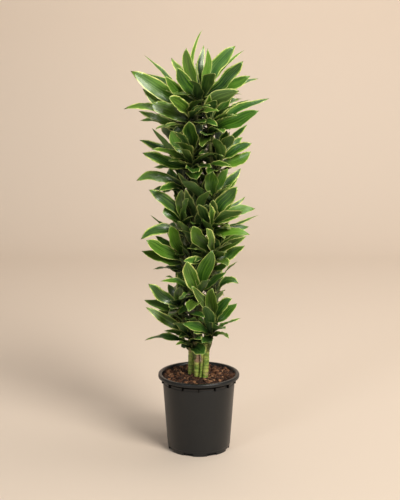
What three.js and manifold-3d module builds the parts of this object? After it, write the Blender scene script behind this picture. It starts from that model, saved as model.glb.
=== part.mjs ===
// Potted corn plant: four green canes with side shoots and heads of long
// striped leaves, standing in coarse bark soil in a round black nursery pot.
// Millimetres, +Z up, origin at the centre of the pot's underside, front -Y.
import * as THREE from 'three';
import { mergeVertices } from 'three/addons/utils/BufferGeometryUtils.js';
import Module from 'manifold-3d';

const wasm = await Module();
wasm.setup();

// ---------------------------------------------------------------- sizes (mm)
const GAP = 0.4;                 // play between neighbouring pieces
const ROUND = 32;                // facets round the pot

const POT_HEIGHT = 257;
const LIP_RADIUS = 135;
const LIP_HEIGHT = 12;
const OPENING_RADIUS = 123;
const BODY_TOP_RADIUS = 121;
const BODY_FOOT_RADIUS = 105;
const WALL = 3;
const FLOOR = 3;
const INNER_FOOT_Z = 6;
const INNER_TOP_Z = 236;         // the wall flares out to the opening above this
const FOOT_STEP_Z = 15;          // faint line moulded round the body
const GUSSETS = 14;
const GUSSET_HEIGHT = 17;
const GUSSET_REACH = 4.5;
const GUSSET_THICKNESS = 2.4;
const NOTCHES = 8;
const NOTCH_WIDTH = 17;
const NOTCH_HEIGHT = 7;
const NOTCH_TURN = 25;           // degrees from the front to the first notch

const SOIL_Z = 249;
const ROOT_DEPTH = 70;           // how far the canes go down into the soil

const BRANCH_RADIUS = 6.5;
const BRANCH_BEND = 35;          // a branch turns into its shoot's line over this length
const CORE_HALF = 36;            // half the leafy length of a shoot's tip
const CORE_TOP_RADIUS = 4;
const RIB = 1.8;                 // thickness of a leaf along its middle

// The point the picture of the plant was taken from, and a point of the
// picture plane slid towards it.
const EYE = new THREE.Vector3(4, -3555, 1357);
const FRONT = new THREE.Vector3(0, -1, 0.1);

// Canes: foot x, y, radius, head x, y, top z.
const CANES = {
  left: [-26, 15, 10.4, -28, 34, 1066],
  middle: [-6, -14, 10.4, -15, -34, 872],
  right: [21, -22, 10.6, 40, -10, 968],
  thin: [5, -28, 4.4, 6, -38, 425],
};
// Leaves along the upper part of a cane: lowest z, highest z, spacing.
const SHEATHS = { left: [430, 1030, 27], middle: [390, 850, 27], right: [410, 940, 27] };

// Shoots: name, [right, toward the viewer, up] of the growing point, cane,
// leaves by rule, length of those, then the leaves whose tips are known:
// [right, toward, up, width, turn, bow right, bow up], turn being how far the
// blade faces the viewer (below 0 its underside does) and bow how far its
// middle is pulled aside.
const SHOOTS = [
  ['crown', [3, -5, 1142], 'left', 9, 200, [
    [10, 0, 1375, 18, 0.2, -31, 0], [-38, 30, 1320, 36, 0.85, -24, 0], [15, -20, 1330, 26, 0.3, -7, 0],
    [30, 25, 1320, 26, 0.75], [50, -70, 1285, 24, 0.4], [115, 20, 1325, 38, 0.75, -4, 3],
    [145, -60, 1315, 23, 0.08, -5, 4], [140, 60, 1280, 36, 0.65, 2, -6], [-10, -60, 1275, 26, 0.5],
    [-92, -50, 1286, 28, 0.7, -16, 0], [-70, 85, 1260, 41, 0.85, -12, -10], [-175, -30, 1298, 32, 0.15, -5, -22],
    [-165, -70, 1240, 32, 0.5], [-216, 60, 1245, 53, 0.8, -5, -26], [-105, 100, 1235, 33, 0.75, -16, -14],
    [-175, 40, 1190, 38, 0.5, 0, -24], [162, 10, 1235, 38, 0.6], [190, -50, 1225, 28, 0.4]]],
  ['upper_left', [-30, 35, 1090], 'left', 7, 190, [
    [-240, 10, 1124, 32, 0.4, 0, 14], [-155, 90, 1145, 44, 0.75], [-95, 140, 1165, 40, 0.75],
    [-192, 20, 1117, 32, 0.4, 0, -13], [-190, -40, 1087, 28, 0.3, 0, 2]]],
  ['upper_right', [34, 35, 1060], 'right', 9, 190, [
    [130, 90, 1185, 46, -0.75, -25, 15], [225, 20, 1160, 34, 0.4, 0, -3], [191, 60, 1125, 44, 0.6, 0, -9],
    [165, -30, 1160, 24, 0.3, 0, 11], [20, 150, 1045, 42, 0.3], [105, 20, 1165, 34, 0.5]]],
  ['breast', [-20, 50, 960], 'middle', 9, 190, [
    [-30, 120, 1090, 45, 0.85], [-90, 90, 1060, 44, 0.8, -18, -8], [-149, 20, 1058, 36, -0.5, 0, -23],
    [-190, -20, 1026, 32, 0.4, 0, -2], [-181, 40, 989, 40, 0.5, 0, -17], [-145, 10, 945, 28, 0.25],
    [-20, 170, 925, 46, 0.25], [20, 60, 1065, 30, 0.5]]],
  ['mid_left', [-52, 5, 890], 'left', 7, 180, [
    [-201, 30, 899, 34, 0.6, 0, 15], [-110, -10, 895, 26, 0.2, 0, 3], [-130, 20, 865, 32, 0.6, 0, 4]]],
  ['mid_right', [65, 20, 955], 'right', 8, 180, [
    [90, 50, 1060, 33, 0.7], [155, -20, 1080, 28, 0.08], [140, 10, 1040, 30, 0.7], [170, 30, 1020, 34, 0.6],
    [167, 60, 994, 41, 0.55, 0, -23], [0, 110, 985, 32, 0.3, 0, 15]]],
  ['waist_right', [48, 45, 822], 'right', 9, 180, [
    [45, 110, 930, 42, 0.85, -10, 0], [95, 50, 940, 30, 0.5], [135, 20, 940, 30, 0.6, 6, -4],
    [125, 40, 905, 30, 0.5], [-55, 90, 900, 38, -0.6, 0, -6]]],
  ['waist_left', [-48, 15, 748], 'left', 9, 190, [
    [-161, 60, 870, 45, 0.75], [-55, 80, 870, 34, 0.75], [-30, 95, 835, 30, 0.6], [-157, -20, 788, 15, 0.15, 0, -21],
    [-190, 50, 709, 38, 0.5, 0, 15]]],
  ['belly_right', [35, 50, 735], 'middle', 8, 190, [
    [125, 110, 880, 45, 0.85], [125, 20, 870, 34, 0.6], [184, 20, 809, 40, 0.5, 0, 8],
    [195, -10, 789, 20, 0.06, 0, -16], [145, 60, 800, 34, -0.5], [163, 20, 750, 35, 0.5], [167, 60, 724, 35, 0.5],
    [-1, 130, 825, 36, -0.7, -8, -5], [35, 120, 825, 30, 0.6]]],
  ['belly_front', [45, 45, 640], 'right', 6, 180, [
    [-20, 140, 750, 43, 0.85, -14, -3], [25, 110, 745, 32, 0.6], [150, 20, 685, 37, 0.6, 0, -6],
    [95, 150, 620, 46, 0.3, 0, 6], [165, -40, 722, 34, 0.3, 0, 17], [-50, 130, 635, 34, 0.35]]],
  ['belly_left', [-50, 10, 625], 'left', 8, 180, [
    [-140, 20, 720, 34, 0.4, -3, -6], [-171, 50, 705, 42, 0.75, -4, -8], [-186, 60, 669, 39, 0.55, 0, -17],
    [-150, 10, 608, 27, 0.12, 0, 3], [-95, 60, 750, 40, 0.6, -3, 0]]],
  ['lap', [4, 60, 520], 'thin', 9, 180, [
    [-40, 130, 635, 45, 0.9, -17, -4], [45, 120, 670, 47, 0.88], [0, 70, 635, 32, 0.5],
    [90, 60, 600, 30, 0.3, 0, -6]]],
  ['hip_right', [64, 0, 548], 'right', 7, 170, [
    [130, 20, 560, 30, 0.5, 0, 12], [85, 0, 540, 28, 0.4]]],
  ['knee_left', [-55, 20, 462], 'left', 8, 175, [
    [-165, 50, 560, 38, 0.65, -4, -9], [-180, 20, 505, 24, 0.35, 0, -4], [-100, -20, 560, 28, 0.3],
    [-60, 20, 550, 34, 0.6], [-125, -30, 570, 26, 0.2], [-90, 140, 475, 43, 0.35]]],
  ['knee_right', [48, 40, 405], 'right', 5, 170, [
    [110, 80, 510, 36, 0.65, -7, 5], [125, 40, 495, 32, 0.6, 3, -7], [140, 0, 440, 18, 0.1, 0, -6],
    [45, 90, 545, 38, 0.8, -12, 0], [30, 150, 470, 42, -0.85], [-55, 130, 425, 34, 0.45, 0, -7],
    [100, 40, 375, 28, 0.4, 0, 8], [60, 20, 373, 18, 0.2], [10, 140, 360, 32, 0.35]]],
  ['ankle', [-26, 30, 372], 'middle', 6, 170, [
    [-175, 60, 480, 34, 0.45, 0, -11], [-180, 30, 370, 30, 0.35, 0, 6], [20, 130, 320, 45, 0.45],
    [-76, 20, 352, 28, 0.4, 0, -3]]],
  ['back_1', [0, -70, 1090], 'left', 12, 200, []],
  ['back_2', [-62, -45, 1010], 'left', 12, 195, []],
  ['back_3', [52, -55, 955], 'right', 12, 190, []],
  ['back_4', [-10, -82, 900], 'left', 12, 190, []],
  ['back_5', [60, -42, 835], 'right', 11, 185, []],
  ['back_6', [-58, -62, 815], 'left', 11, 185, []],
  ['back_7', [2, -80, 740], 'left', 12, 185, []],
  ['back_8', [-65, -40, 700], 'left', 11, 180, []],
  ['back_9', [60, -45, 655], 'right', 11, 180, []],
  ['back_10', [-10, -80, 600], 'left', 12, 180, []],
  ['back_11', [55, -50, 520], 'right', 11, 180, []],
  ['back_12', [-58, -55, 515], 'left', 11, 175, []],
  ['back_13', [2, -78, 440], 'left', 12, 175, []],
  ['back_14', [-64, -34, 400], 'left', 9, 165, []],
];

// How far the mass of leaves reaches to the left and to the right: z, left, right.
const REACH = [
  [345, -70, 60], [440, -100, 85], [520, -85, 80], [570, -72, 62], [620, -80, 72], [670, -80, 60],
  [710, -100, 110], [790, -105, 120], [840, -76, 110], [900, -90, 110], [970, -125, 125], [1045, -112, 110],
  [1100, -150, 150], [1180, -165, 165], [1325, -150, 150],
];

const STATIONS = [0, 0.36, 0.72, 1];             // where a leaf has a cross-section
const SHORT_STATIONS = [0, 0.56, 1];             // the same for a leaf placed by rule
const GOLDEN_TURN = 2.39996;                     // between one leaf and the next

// ------------------------------------------------------------------ helpers
const vec = (x, y, z) => new THREE.Vector3(x, y, z);
const mix = (a, b, f) => a.clone().lerp(b, f);
const along = (p, d, k) => p.clone().addScaledVector(d, k);
const radians = THREE.MathUtils.degToRad;

// Repeatable draw between 0 and 1.
function draws(seed) {
  let state = (seed * 2654435761) % 4294967296;
  return () => {
    state = (state * 1664525 + 1013904223) % 4294967296;
    return state / 4294967296;
  };
}

function solid(geometry) {
  geometry.deleteAttribute('normal');
  geometry.deleteAttribute('uv');
  const g = mergeVertices(geometry, 1e-3);
  return new wasm.Manifold(new wasm.Mesh({
    numProp: 3,
    vertProperties: new Float32Array(g.attributes.position.array),
    triVerts: new Uint32Array(g.index.array),
  }));
}

function piece(name, body, material) {
  const m = body.getMesh();
  const g = new THREE.BufferGeometry();
  g.setAttribute('position', new THREE.BufferAttribute(Float32Array.from(m.vertProperties), 3));
  g.setIndex(new THREE.BufferAttribute(Uint32Array.from(m.triVerts), 1));
  g.computeVertexNormals();
  const mesh = new THREE.Mesh(g, material);
  mesh.name = name;
  return mesh;
}

// The largest connected part of a union, without any closed bubble in it.
function whole(parts) {
  const bodies = wasm.Manifold.union(parts).decompose();
  return bodies.reduce((a, b) => (b.volume() > a.volume() ? b : a)).simplify(0.2);
}

function lathe(profile) {
  const g = new THREE.LatheGeometry(profile.map(([r, z]) => new THREE.Vector2(r, z)), ROUND);
  return g.rotateX(Math.PI / 2);
}

function rod(a, b, ra, rb, sides) {
  const g = new THREE.CylinderGeometry(rb, ra, a.distanceTo(b), sides);
  g.translate(0, a.distanceTo(b) / 2, 0);
  const turn = new THREE.Quaternion().setFromUnitVectors(vec(0, 1, 0), b.clone().sub(a).normalize());
  return solid(g.applyQuaternion(turn).translate(a.x, a.y, a.z));
}

function tube(path, steps, radius, sides) {
  const ring = Array.from({ length: sides }, (_, i) => new THREE.Vector2(
    radius * Math.cos((2 * Math.PI * i) / sides), radius * Math.sin((2 * Math.PI * i) / sides)));
  return solid(new THREE.ExtrudeGeometry(new THREE.Shape(ring), {
    steps, extrudePath: path, bevelEnabled: false,
  }));
}

// --------------------------------------------------------------- pot and soil
const LIP_Z = POT_HEIGHT - LIP_HEIGHT;
const bodyRadius = (z) => BODY_FOOT_RADIUS + ((BODY_TOP_RADIUS - BODY_FOOT_RADIUS) * (z - FOOT_STEP_Z)) / (LIP_Z - FOOT_STEP_Z);
const innerRadius = (z) => bodyRadius(z) - WALL - 0.8 * (1 - z / POT_HEIGHT);

function pot() {
  let body = solid(lathe([
    [0, 0], [99, 0], [103.6, 4.5], [bodyRadius(FOOT_STEP_Z) - 0.9, FOOT_STEP_Z],
    [bodyRadius(FOOT_STEP_Z + 1), FOOT_STEP_Z + 1], [bodyRadius(LIP_Z), LIP_Z],
    [LIP_RADIUS - 1.5, LIP_Z], [LIP_RADIUS, LIP_Z + 2], [LIP_RADIUS, LIP_Z + 8],
    [LIP_RADIUS - 3, POT_HEIGHT], [OPENING_RADIUS + 2.5, POT_HEIGHT], [OPENING_RADIUS, POT_HEIGHT - 4],
    [innerRadius(INNER_TOP_Z), INNER_TOP_Z],
    [innerRadius(INNER_FOOT_Z), INNER_FOOT_Z], [innerRadius(INNER_FOOT_Z) - 3, FLOOR], [0, FLOOR],
  ]));
  const web = new THREE.Shape([
    new THREE.Vector2(BODY_TOP_RADIUS - 2.6, LIP_Z - GUSSET_HEIGHT), new THREE.Vector2(BODY_TOP_RADIUS + GUSSET_REACH, LIP_Z - GUSSET_HEIGHT + 5),
    new THREE.Vector2(BODY_TOP_RADIUS + GUSSET_REACH, LIP_Z + 1), new THREE.Vector2(BODY_TOP_RADIUS - 1.4, LIP_Z + 1),
  ]);
  const added = [body];
  for (let i = 0; i < GUSSETS; i++) {
    const g = new THREE.ExtrudeGeometry(web, { depth: GUSSET_THICKNESS, bevelEnabled: false });
    g.translate(0, 0, -GUSSET_THICKNESS / 2).rotateX(Math.PI / 2);
    added.push(solid(g.rotateZ(-Math.PI / 2 + (2 * Math.PI * i) / GUSSETS)));
  }
  body = wasm.Manifold.union(added);
  for (let i = 0; i < NOTCHES; i++) {
    const g = new THREE.BoxGeometry(30, NOTCH_WIDTH, 2 * NOTCH_HEIGHT);
    g.translate(BODY_FOOT_RADIUS + 8, 0, 0);
    body = body.subtract(solid(g.rotateZ(-Math.PI / 2 + radians(NOTCH_TURN) + (2 * Math.PI * i) / NOTCHES)));
  }
  return body;
}

const soilHeight = (x, y) => SOIL_Z + 2 * Math.sin(x / 13 + 1) * Math.cos(y / 15) + Math.sin(x / 6.1 + y / 7.3) + 1.5 * (Math.hypot(x, y) / 115) ** 2;

function soil(holes) {
  const g = lathe([
    [0, FLOOR + GAP], [innerRadius(INNER_FOOT_Z) - 3.5, FLOOR + GAP], [innerRadius(INNER_FOOT_Z) - 0.6, INNER_FOOT_Z + 0.6],
    [innerRadius(INNER_TOP_Z) - 0.6, INNER_TOP_Z], [innerRadius(INNER_TOP_Z) + 2.6, SOIL_Z - 1],
    [100, SOIL_Z], [70, SOIL_Z], [35, SOIL_Z], [0, SOIL_Z],
  ]);
  const p = g.attributes.position;
  for (let i = 0; i < p.count; i++) {
    if (p.getZ(i) > SOIL_Z - 0.5) p.setZ(i, soilHeight(p.getX(i), p.getY(i)));
  }
  return holes.reduce((body, hole) => body.subtract(hole), solid(g));
}

// ------------------------------------------------------------------- leaves
// Half-width of a leaf as a share of its widest, s running from root to tip.
function outline(s) {
  if (s < 0.5) {
    const u = Math.max(0, (s - 0.03) / 0.47);
    return 0.14 + 0.86 * u * u * (3 - 2 * u);
  }
  return 1 - ((s - 0.5) / 0.5) ** 2.6;
}

function spine(leaf, s) {
  return leaf.root.clone().multiplyScalar((1 - s) ** 2)
    .addScaledVector(leaf.bend, 2 * s * (1 - s)).addScaledVector(leaf.tip, s * s);
}

// Left edge, middle and right edge of the blade at s, and its upward normal.
function section(leaf, s) {
  const c = spine(leaf, s);
  const t = leaf.bend.clone().sub(leaf.root).multiplyScalar(1 - s)
    .addScaledVector(leaf.tip.clone().sub(leaf.bend), s).normalize();
  const n = along(leaf.hint, t, -leaf.hint.dot(t)).normalize();
  const side = t.clone().cross(n);
  const w = leaf.twist * s;
  const across = side.clone().multiplyScalar(Math.cos(w)).addScaledVector(n, Math.sin(w));
  const up = n.clone().multiplyScalar(Math.cos(w)).addScaledVector(side, -Math.sin(w));
  const half = (leaf.width / 2) * outline(s);
  const edge = (sign) => {
    const fold = 0.5 * (1 - s) ** 2 + 0.12;
    const wave = leaf.wave * Math.sin(Math.PI * s) * Math.sin(leaf.ripples * s * 2 * Math.PI + leaf.phase * sign);
    return along(along(c, across, sign * half), up, fold * half + wave);
  };
  return { left: edge(-1), middle: c, right: edge(1), up };
}

function leafSolid(leaf) {
  const rows = leaf.stations.slice(0, -1).map((s) => section(leaf, s));
  const points = rows.flatMap((r) => [r.left, along(r.middle, r.up, RIB / 2), r.right, along(r.middle, r.up, -RIB / 2)]);
  points.push(leaf.tip);
  const index = [0, 3, 1, 1, 3, 2];
  for (let i = 0; i + 1 < rows.length; i++) {
    const [l, t, r, b] = [0, 1, 2, 3].map((k) => 4 * i + k);
    const [L, T, R, B] = [4, 5, 6, 7].map((k) => 4 * i + k);
    index.push(t, r, R, t, R, T, l, t, L, t, T, L, b, R, r, b, B, R, l, L, b, L, B, b);
  }
  const [l, t, r, b] = [0, 1, 2, 3].map((k) => 4 * (rows.length - 1) + k);
  const tip = points.length - 1;
  index.push(t, r, tip, l, t, tip, b, tip, r, l, tip, b);
  const g = new THREE.BufferGeometry().setFromPoints(points);
  g.setIndex(index);
  return solid(g);
}

function makeLeaf(at, axis, height, tip, width, hint, draw, flat, stations) {
  const root = along(at, axis, CORE_HALF * height);
  const chord = tip.clone().sub(root);
  const length = chord.length();
  const c = chord.clone().divideScalar(length);
  const lift = axis.clone().add(vec(0, -0.05, 0));
  const m = along(lift, c, -lift.dot(c)).normalize();
  const bend = along(along(root, chord, 0.5), m, (0.08 + 0.12 * (1 - c.dot(axis))) * flat * length);
  const twist = (draw() - 0.5) * 0.7;
  const wave = 2 + 3 * draw();
  const ripples = 1.2 + 1.3 * draw();
  return { root, bend, tip, width, hint, twist, wave, ripples, phase: draw() * 3, stations };
}

// --------------------------------------- room taken, on a grid of small cells
const CELL = 4;
const STEP = 2.8;
const CELLS_X = 170;
const CELLS_Y = 170;
const CELLS_Z = 370;
const LOW = -340;
const SHARED = 255;
const OWN_SHARE = 0.32;          // part of a leaf that may lie against its own shoot
const MOST_TURN = 0.4;           // cosine of the most a blade turns between two sections
const taken = new Uint8Array(CELLS_X * CELLS_Y * CELLS_Z);

function cell(p) {
  const clip = (v, n) => Math.max(1, Math.min(n - 2, v));
  const i = clip(Math.floor((p.x - LOW) / CELL), CELLS_X);
  const j = clip(Math.floor((p.y - LOW) / CELL), CELLS_Y);
  const k = clip(Math.floor(p.z / CELL), CELLS_Z);
  return i + CELLS_X * (j + CELLS_Y * k);
}

function take(points, id) {
  const near = new Set();
  for (const k of new Set(points.map(cell))) {
    for (let dx = -1; dx <= 1; dx++) {
      for (let dy = -1; dy <= 1; dy++) {
        for (let dz = -1; dz <= 1; dz++) near.add(k + dx + CELLS_X * (dy + CELLS_Y * dz));
      }
    }
  }
  for (const k of near) taken[k] = taken[k] === 0 || taken[k] === id ? id : SHARED;
}

function surface(leaf) {
  const out = [];
  const st = leaf.stations;
  const rows = st.map((s) => section(leaf, s));
  for (let i = 0; i + 1 < rows.length; i++) {
    const [a, b] = [rows[i], rows[i + 1]];
    const nf = Math.max(1, Math.ceil(a.middle.distanceTo(b.middle) / STEP));
    for (const edge of ['left', 'right']) {
      const ng = Math.max(1, Math.ceil(Math.max(a.middle.distanceTo(a[edge]), b.middle.distanceTo(b[edge])) / STEP));
      for (let j = 0; j < nf; j++) {
        const f = (j + 0.5) / nf;
        const c = mix(a.middle, b.middle, f);
        const e = mix(a[edge], b[edge], f);
        for (let k = 0; k <= ng; k++) out.push({ p: mix(c, e, k / ng), s: st[i] + (st[i + 1] - st[i]) * f });
      }
    }
  }
  return out;
}

// A blade turned too far between two of its sections would cross itself.
function turned(leaf) {
  const across = leaf.stations.slice(0, -1).map((s) => section(leaf, s)).map((r) => r.right.clone().sub(r.left).normalize());
  return across.slice(1).some((v, i) => v.dot(across[i]) < MOST_TURN);
}

function fits(leaf, points, id) {
  if (turned(leaf)) return false;
  return points.every(({ p, s }) => {
    if (s <= 0.1) return true;
    const label = taken[cell(p)];
    return label === 0 || (label === id && s <= OWN_SHARE);
  });
}

function rodSurface(a, b, ra, rb) {
  const axis = b.clone().sub(a).normalize();
  const side = axis.clone().cross(vec(0.3, 1, 0.2)).normalize();
  const other = axis.clone().cross(side);
  const n = Math.ceil(a.distanceTo(b) / 6);
  const out = [];
  for (let i = 0; i <= n; i++) {
    const r = ra + ((rb - ra) * i) / n;
    for (let j = 0; j < 8; j++) {
      const w = (j * Math.PI) / 4;
      out.push(along(along(mix(a, b, i / n), side, r * Math.cos(w)), other, r * Math.sin(w)));
    }
  }
  return out;
}

// ------------------------------------------------------- canes and growing points
function caneAt(name, z) {
  const [fx, fy, , hx, hy, top] = CANES[name];
  const t = (z - SOIL_Z) / (top - SOIL_Z);
  const bow = 10 * Math.sin(Math.PI * t);
  return vec(fx + (hx - fx) * t + bow * 0.5, fy + (hy - fy) * t + bow * 0.3, z);
}

function fromView(right, toward, up) {
  const p = vec(right, 0, up);
  return EYE.clone().add(p.sub(EYE).multiplyScalar(1 - toward / -EYE.y));
}

const canes = Object.keys(CANES).map((name, i) => ({ name, id: 201 + i, leaves: [], branches: [] }));
const shoots = SHOOTS.map(([name, [right, toward, up], caneName, ruled, size, seen], i) => {
  const at = fromView(right, toward, up);
  const rise = name === 'crown' ? 80 : up < 480 ? 68 : 105;
  const foot = caneAt(caneName, up - rise);
  const axis = at.clone().sub(foot).normalize().add(vec(0, 0, 0.35)).normalize();
  const cane = canes.find((c) => c.name === caneName);
  return { name, id: i + 1, at, axis, foot, cane, ruled, size, seen, leaves: [] };
});

for (const cane of canes) {
  const [, , radius, , , top] = CANES[cane.name];
  const points = [];
  for (let z = SOIL_Z; z < top; z += 40) {
    points.push(...rodSurface(caneAt(cane.name, z), caneAt(cane.name, Math.min(z + 40, top)), radius, radius));
  }
  take(points, cane.id);
}
for (const shoot of shoots) {
  shoot.base = along(shoot.at, shoot.axis, -CORE_HALF);
  shoot.branch = new THREE.QuadraticBezierCurve3(
    shoot.foot, along(shoot.base, shoot.axis, -BRANCH_BEND), along(shoot.base, shoot.axis, -GAP));
  const bends = [0, 1 / 3, 2 / 3, 1].map((f) => shoot.branch.getPoint(f));
  for (let i = 0; i < 3; i++) take(rodSurface(bends[i], bends[i + 1], BRANCH_RADIUS, BRANCH_RADIUS), shoot.cane.id);
  take(rodSurface(shoot.base, along(shoot.at, shoot.axis, CORE_HALF), BRANCH_RADIUS, CORE_TOP_RADIUS), shoot.id);
}

// ------------------------------------------------------------ placing the leaves
// Leaves with known tips: the tip only slides along the line of sight.
for (const shoot of shoots) {
  shoot.seen.forEach(([right, toward, up, width, turn, bowRight = 0, bowUp = 0], i) => {
    for (let k = 0; k < 48; k++) {
      const step = k >> 1;
      const shift = ((step + 1) >> 1) * 9 * (step % 2 ? 1 : -1);
      const tip = fromView(right, toward + shift, up);
      const hint = shoot.axis.clone().multiplyScalar(1 - Math.abs(turn)).addScaledVector(FRONT, turn);
      const rise = 2 * tip.clone().sub(shoot.at).normalize().dot(shoot.axis) - 1;
      const leaf = makeLeaf(shoot.at, shoot.axis, Math.max(-0.9, Math.min(0.9, rise)), tip, width, hint, draws((shoot.id - 1) * 100 + i), k % 2 ? 0.5 : 1, STATIONS);
      leaf.bend.add(vec(2 * bowRight, 0, 2 * bowUp));
      const points = surface(leaf);
      if (fits(leaf, points, shoot.id)) {
        take(points.map((q) => q.p), shoot.id);
        shoot.leaves.push(leaf);
        return;
      }
    }
  });
}

// Leaves along the canes.
function basis(axis) {
  const side = axis.clone().cross(vec(0.2, 1, 0.1)).normalize();
  return [side, axis.clone().cross(side)];
}

for (const [name, [low, high, spacing]] of Object.entries(SHEATHS)) {
  const cane = canes.find((c) => c.name === name);
  const count = Math.floor((high - low) / spacing);
  for (let i = 0; i < count; i++) {
    const draw = draws(9000 + cane.id * 50 + i);
    const z = low + ((high - low) * i) / count;
    const at = caneAt(name, z);
    const axis = caneAt(name, z + 20).sub(at).normalize();
    const [side, other] = basis(axis);
    for (let k = 0; k < 60; k++) {
      const turn = i * GOLDEN_TURN + (draw() - 0.5) * (0.4 + 0.09 * k);
      const lean = radians(24 + 30 * draw() + 0.2 * k);
      const length = (165 - 25 * draw()) * (1 - 0.007 * k);
      const out = side.clone().multiplyScalar(Math.cos(turn)).addScaledVector(other, Math.sin(turn));
      const tip = along(along(at, axis, Math.cos(lean) * length), out, Math.sin(lean) * length);
      const width = 30 + 9 * draw();
      const leaf = makeLeaf(along(at, out, 2), axis, 0, tip, width, axis, draw, 1, SHORT_STATIONS);
      const points = surface(leaf);
      if (fits(leaf, points, cane.id)) {
        take(points.map((q) => q.p), cane.id);
        cane.leaves.push(leaf);
        break;
      }
    }
  }
}

function withinReach({ x, z }) {
  const k = REACH.findIndex((row) => row[0] > z);
  if (k < 1) return false;
  const [a, b] = [REACH[k - 1], REACH[k]];
  const f = (z - a[0]) / (b[0] - a[0]);
  return x > a[1] + (b[1] - a[1]) * f && x < a[2] + (b[2] - a[2]) * f;
}

// The other leaves of every shoot, in a spiral from the oldest and lowest to
// the youngest and most upright.
for (const shoot of shoots) {
  const [side, other] = basis(shoot.axis);
  for (let i = 0; i < shoot.ruled; i++) {
    const draw = draws(5000 + (shoot.id - 1) * 100 + i);
    const age = (i + 0.5) / shoot.ruled;
    for (let k = 0; k < 40; k++) {
      const turn = i * GOLDEN_TURN + (shoot.id - 1) * 1.3 + (draw() - 0.5) * (0.4 + 0.1 * k);
      const lean = radians(84 - 68 * age + (draw() - 0.5) * (10 + 1.5 * k));
      const length = shoot.size * (0.95 - 0.25 * Math.abs(age - 0.4)) * (1 - 0.012 * k);
      const out = side.clone().multiplyScalar(Math.cos(turn)).addScaledVector(other, Math.sin(turn));
      const tip = along(along(shoot.at, shoot.axis, Math.cos(lean) * length), out, Math.sin(lean) * length);
      const width = 34 + 9 * draw();
      const leaf = makeLeaf(shoot.at, shoot.axis, 1.8 * age - 0.9, tip, width, shoot.axis, draw, 1, SHORT_STATIONS);
      if (!withinReach(tip) || Math.abs(tip.y) > 205) continue;
      const points = surface(leaf);
      if (fits(leaf, points, shoot.id)) {
        take(points.map((q) => q.p), shoot.id);
        shoot.leaves.push(leaf);
        break;
      }
    }
  }
}

// ----------------------------------------------------------------- the pieces
const potPlastic = new THREE.MeshStandardMaterial({ color: 0x26282a, roughness: 0.45, metalness: 0 });
const bark = new THREE.MeshStandardMaterial({ color: 0x4a2e20, roughness: 0.95, metalness: 0 });
const stem = new THREE.MeshStandardMaterial({ color: 0x5f7a32, roughness: 0.65, metalness: 0 });
const foliage = new THREE.MeshStandardMaterial({ color: 0x2f6b22, roughness: 0.4, metalness: 0 });

const plant = new THREE.Group();
plant.name = 'potted_corn_plant';
plant.add(piece('pot', pot(), potPlastic));

const holes = [];
for (const cane of canes) {
  const [, , radius, , , top] = CANES[cane.name];
  const sides = cane.name === 'thin' ? 7 : 10;
  const zs = [SOIL_Z - ROOT_DEPTH];
  for (let z = SOIL_Z; z < top - 50; z += 85) zs.push(z);
  zs.push(top);
  const line = (list) => new THREE.CatmullRomCurve3(list.map((z) => caneAt(cane.name, z)));
  const parts = [tube(line(zs), zs.length - 1, radius, sides)];
  holes.push(tube(line([zs[0] - GAP, ...zs.slice(1)]), zs.length - 1, radius + GAP, sides));
  for (const shoot of shoots.filter((s) => s.cane === cane)) {
    parts.push(tube(shoot.branch, 2, BRANCH_RADIUS, 5));
  }
  parts.push(...cane.leaves.map(leafSolid));
  plant.add(piece(`cane_${cane.name}`, whole(parts), stem));
}
plant.add(piece('soil', soil(holes), bark));

for (const shoot of shoots) {
  const core = rod(shoot.base, along(shoot.at, shoot.axis, CORE_HALF), BRANCH_RADIUS, CORE_TOP_RADIUS, 4);
  plant.add(piece(`leaves_${shoot.name}`, whole([core, ...shoot.leaves.map(leafSolid)]), foliage));
}

export default plant;
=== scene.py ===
"""Looks of the potted corn plant: long striped leaves in heads on green
canes, coarse bark soil and a round black nursery pot.

The leaves are placed by the same rule as the plant's solids: a table of the
growing points, a seeded draw for each leaf, and a grid that keeps every leaf
clear of its neighbours. Millimetres in the rule, metres in Blender.
"""
import math

import bpy
import numpy as np
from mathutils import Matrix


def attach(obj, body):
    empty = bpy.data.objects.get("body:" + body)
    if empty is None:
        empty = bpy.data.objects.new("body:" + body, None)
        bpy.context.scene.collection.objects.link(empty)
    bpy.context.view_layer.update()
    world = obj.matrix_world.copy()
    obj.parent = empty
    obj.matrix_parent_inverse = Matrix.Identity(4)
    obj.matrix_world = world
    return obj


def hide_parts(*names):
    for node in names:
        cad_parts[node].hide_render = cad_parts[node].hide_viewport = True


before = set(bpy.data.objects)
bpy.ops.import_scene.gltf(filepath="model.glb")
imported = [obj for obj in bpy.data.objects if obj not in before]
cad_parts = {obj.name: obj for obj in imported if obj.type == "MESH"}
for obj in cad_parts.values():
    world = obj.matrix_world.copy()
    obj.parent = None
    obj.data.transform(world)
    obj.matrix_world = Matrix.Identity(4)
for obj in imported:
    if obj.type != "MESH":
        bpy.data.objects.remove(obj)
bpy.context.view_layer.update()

# ---------------------------------------------------------------- sizes (mm)
MM = 0.001

POT_HEIGHT = 257
LIP_RADIUS = 135
LIP_HEIGHT = 12
LIP_Z = POT_HEIGHT - LIP_HEIGHT
OPENING_RADIUS = 123
BODY_TOP_RADIUS = 121
BODY_FOOT_RADIUS = 105
BASE_RADIUS = 102.8
WALL = 3
FLOOR = 3
INNER_FOOT_Z = 6
INNER_TOP_Z = 236                           # the wall flares out to the opening above this
FOOT_STEP_Z = 15                            # faint line moulded round the body
GUSSETS = 14
GUSSET_HEIGHT = 17
GUSSET_REACH = 4.5
GUSSET_THICKNESS = 2.4
BAND_DEPTH = 1.1                            # the wall is set back where the gussets are
NOTCHES = 8
NOTCH_WIDTH = 34
NOTCH_HEIGHT = 9
NOTCH_TURN = 25                             # degrees from the front to the first notch
PAINTED_SHADE_BAND = 9                                  # painted shade: band of the wall close under the lip, made near-black as if in the lip's shadow

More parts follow.
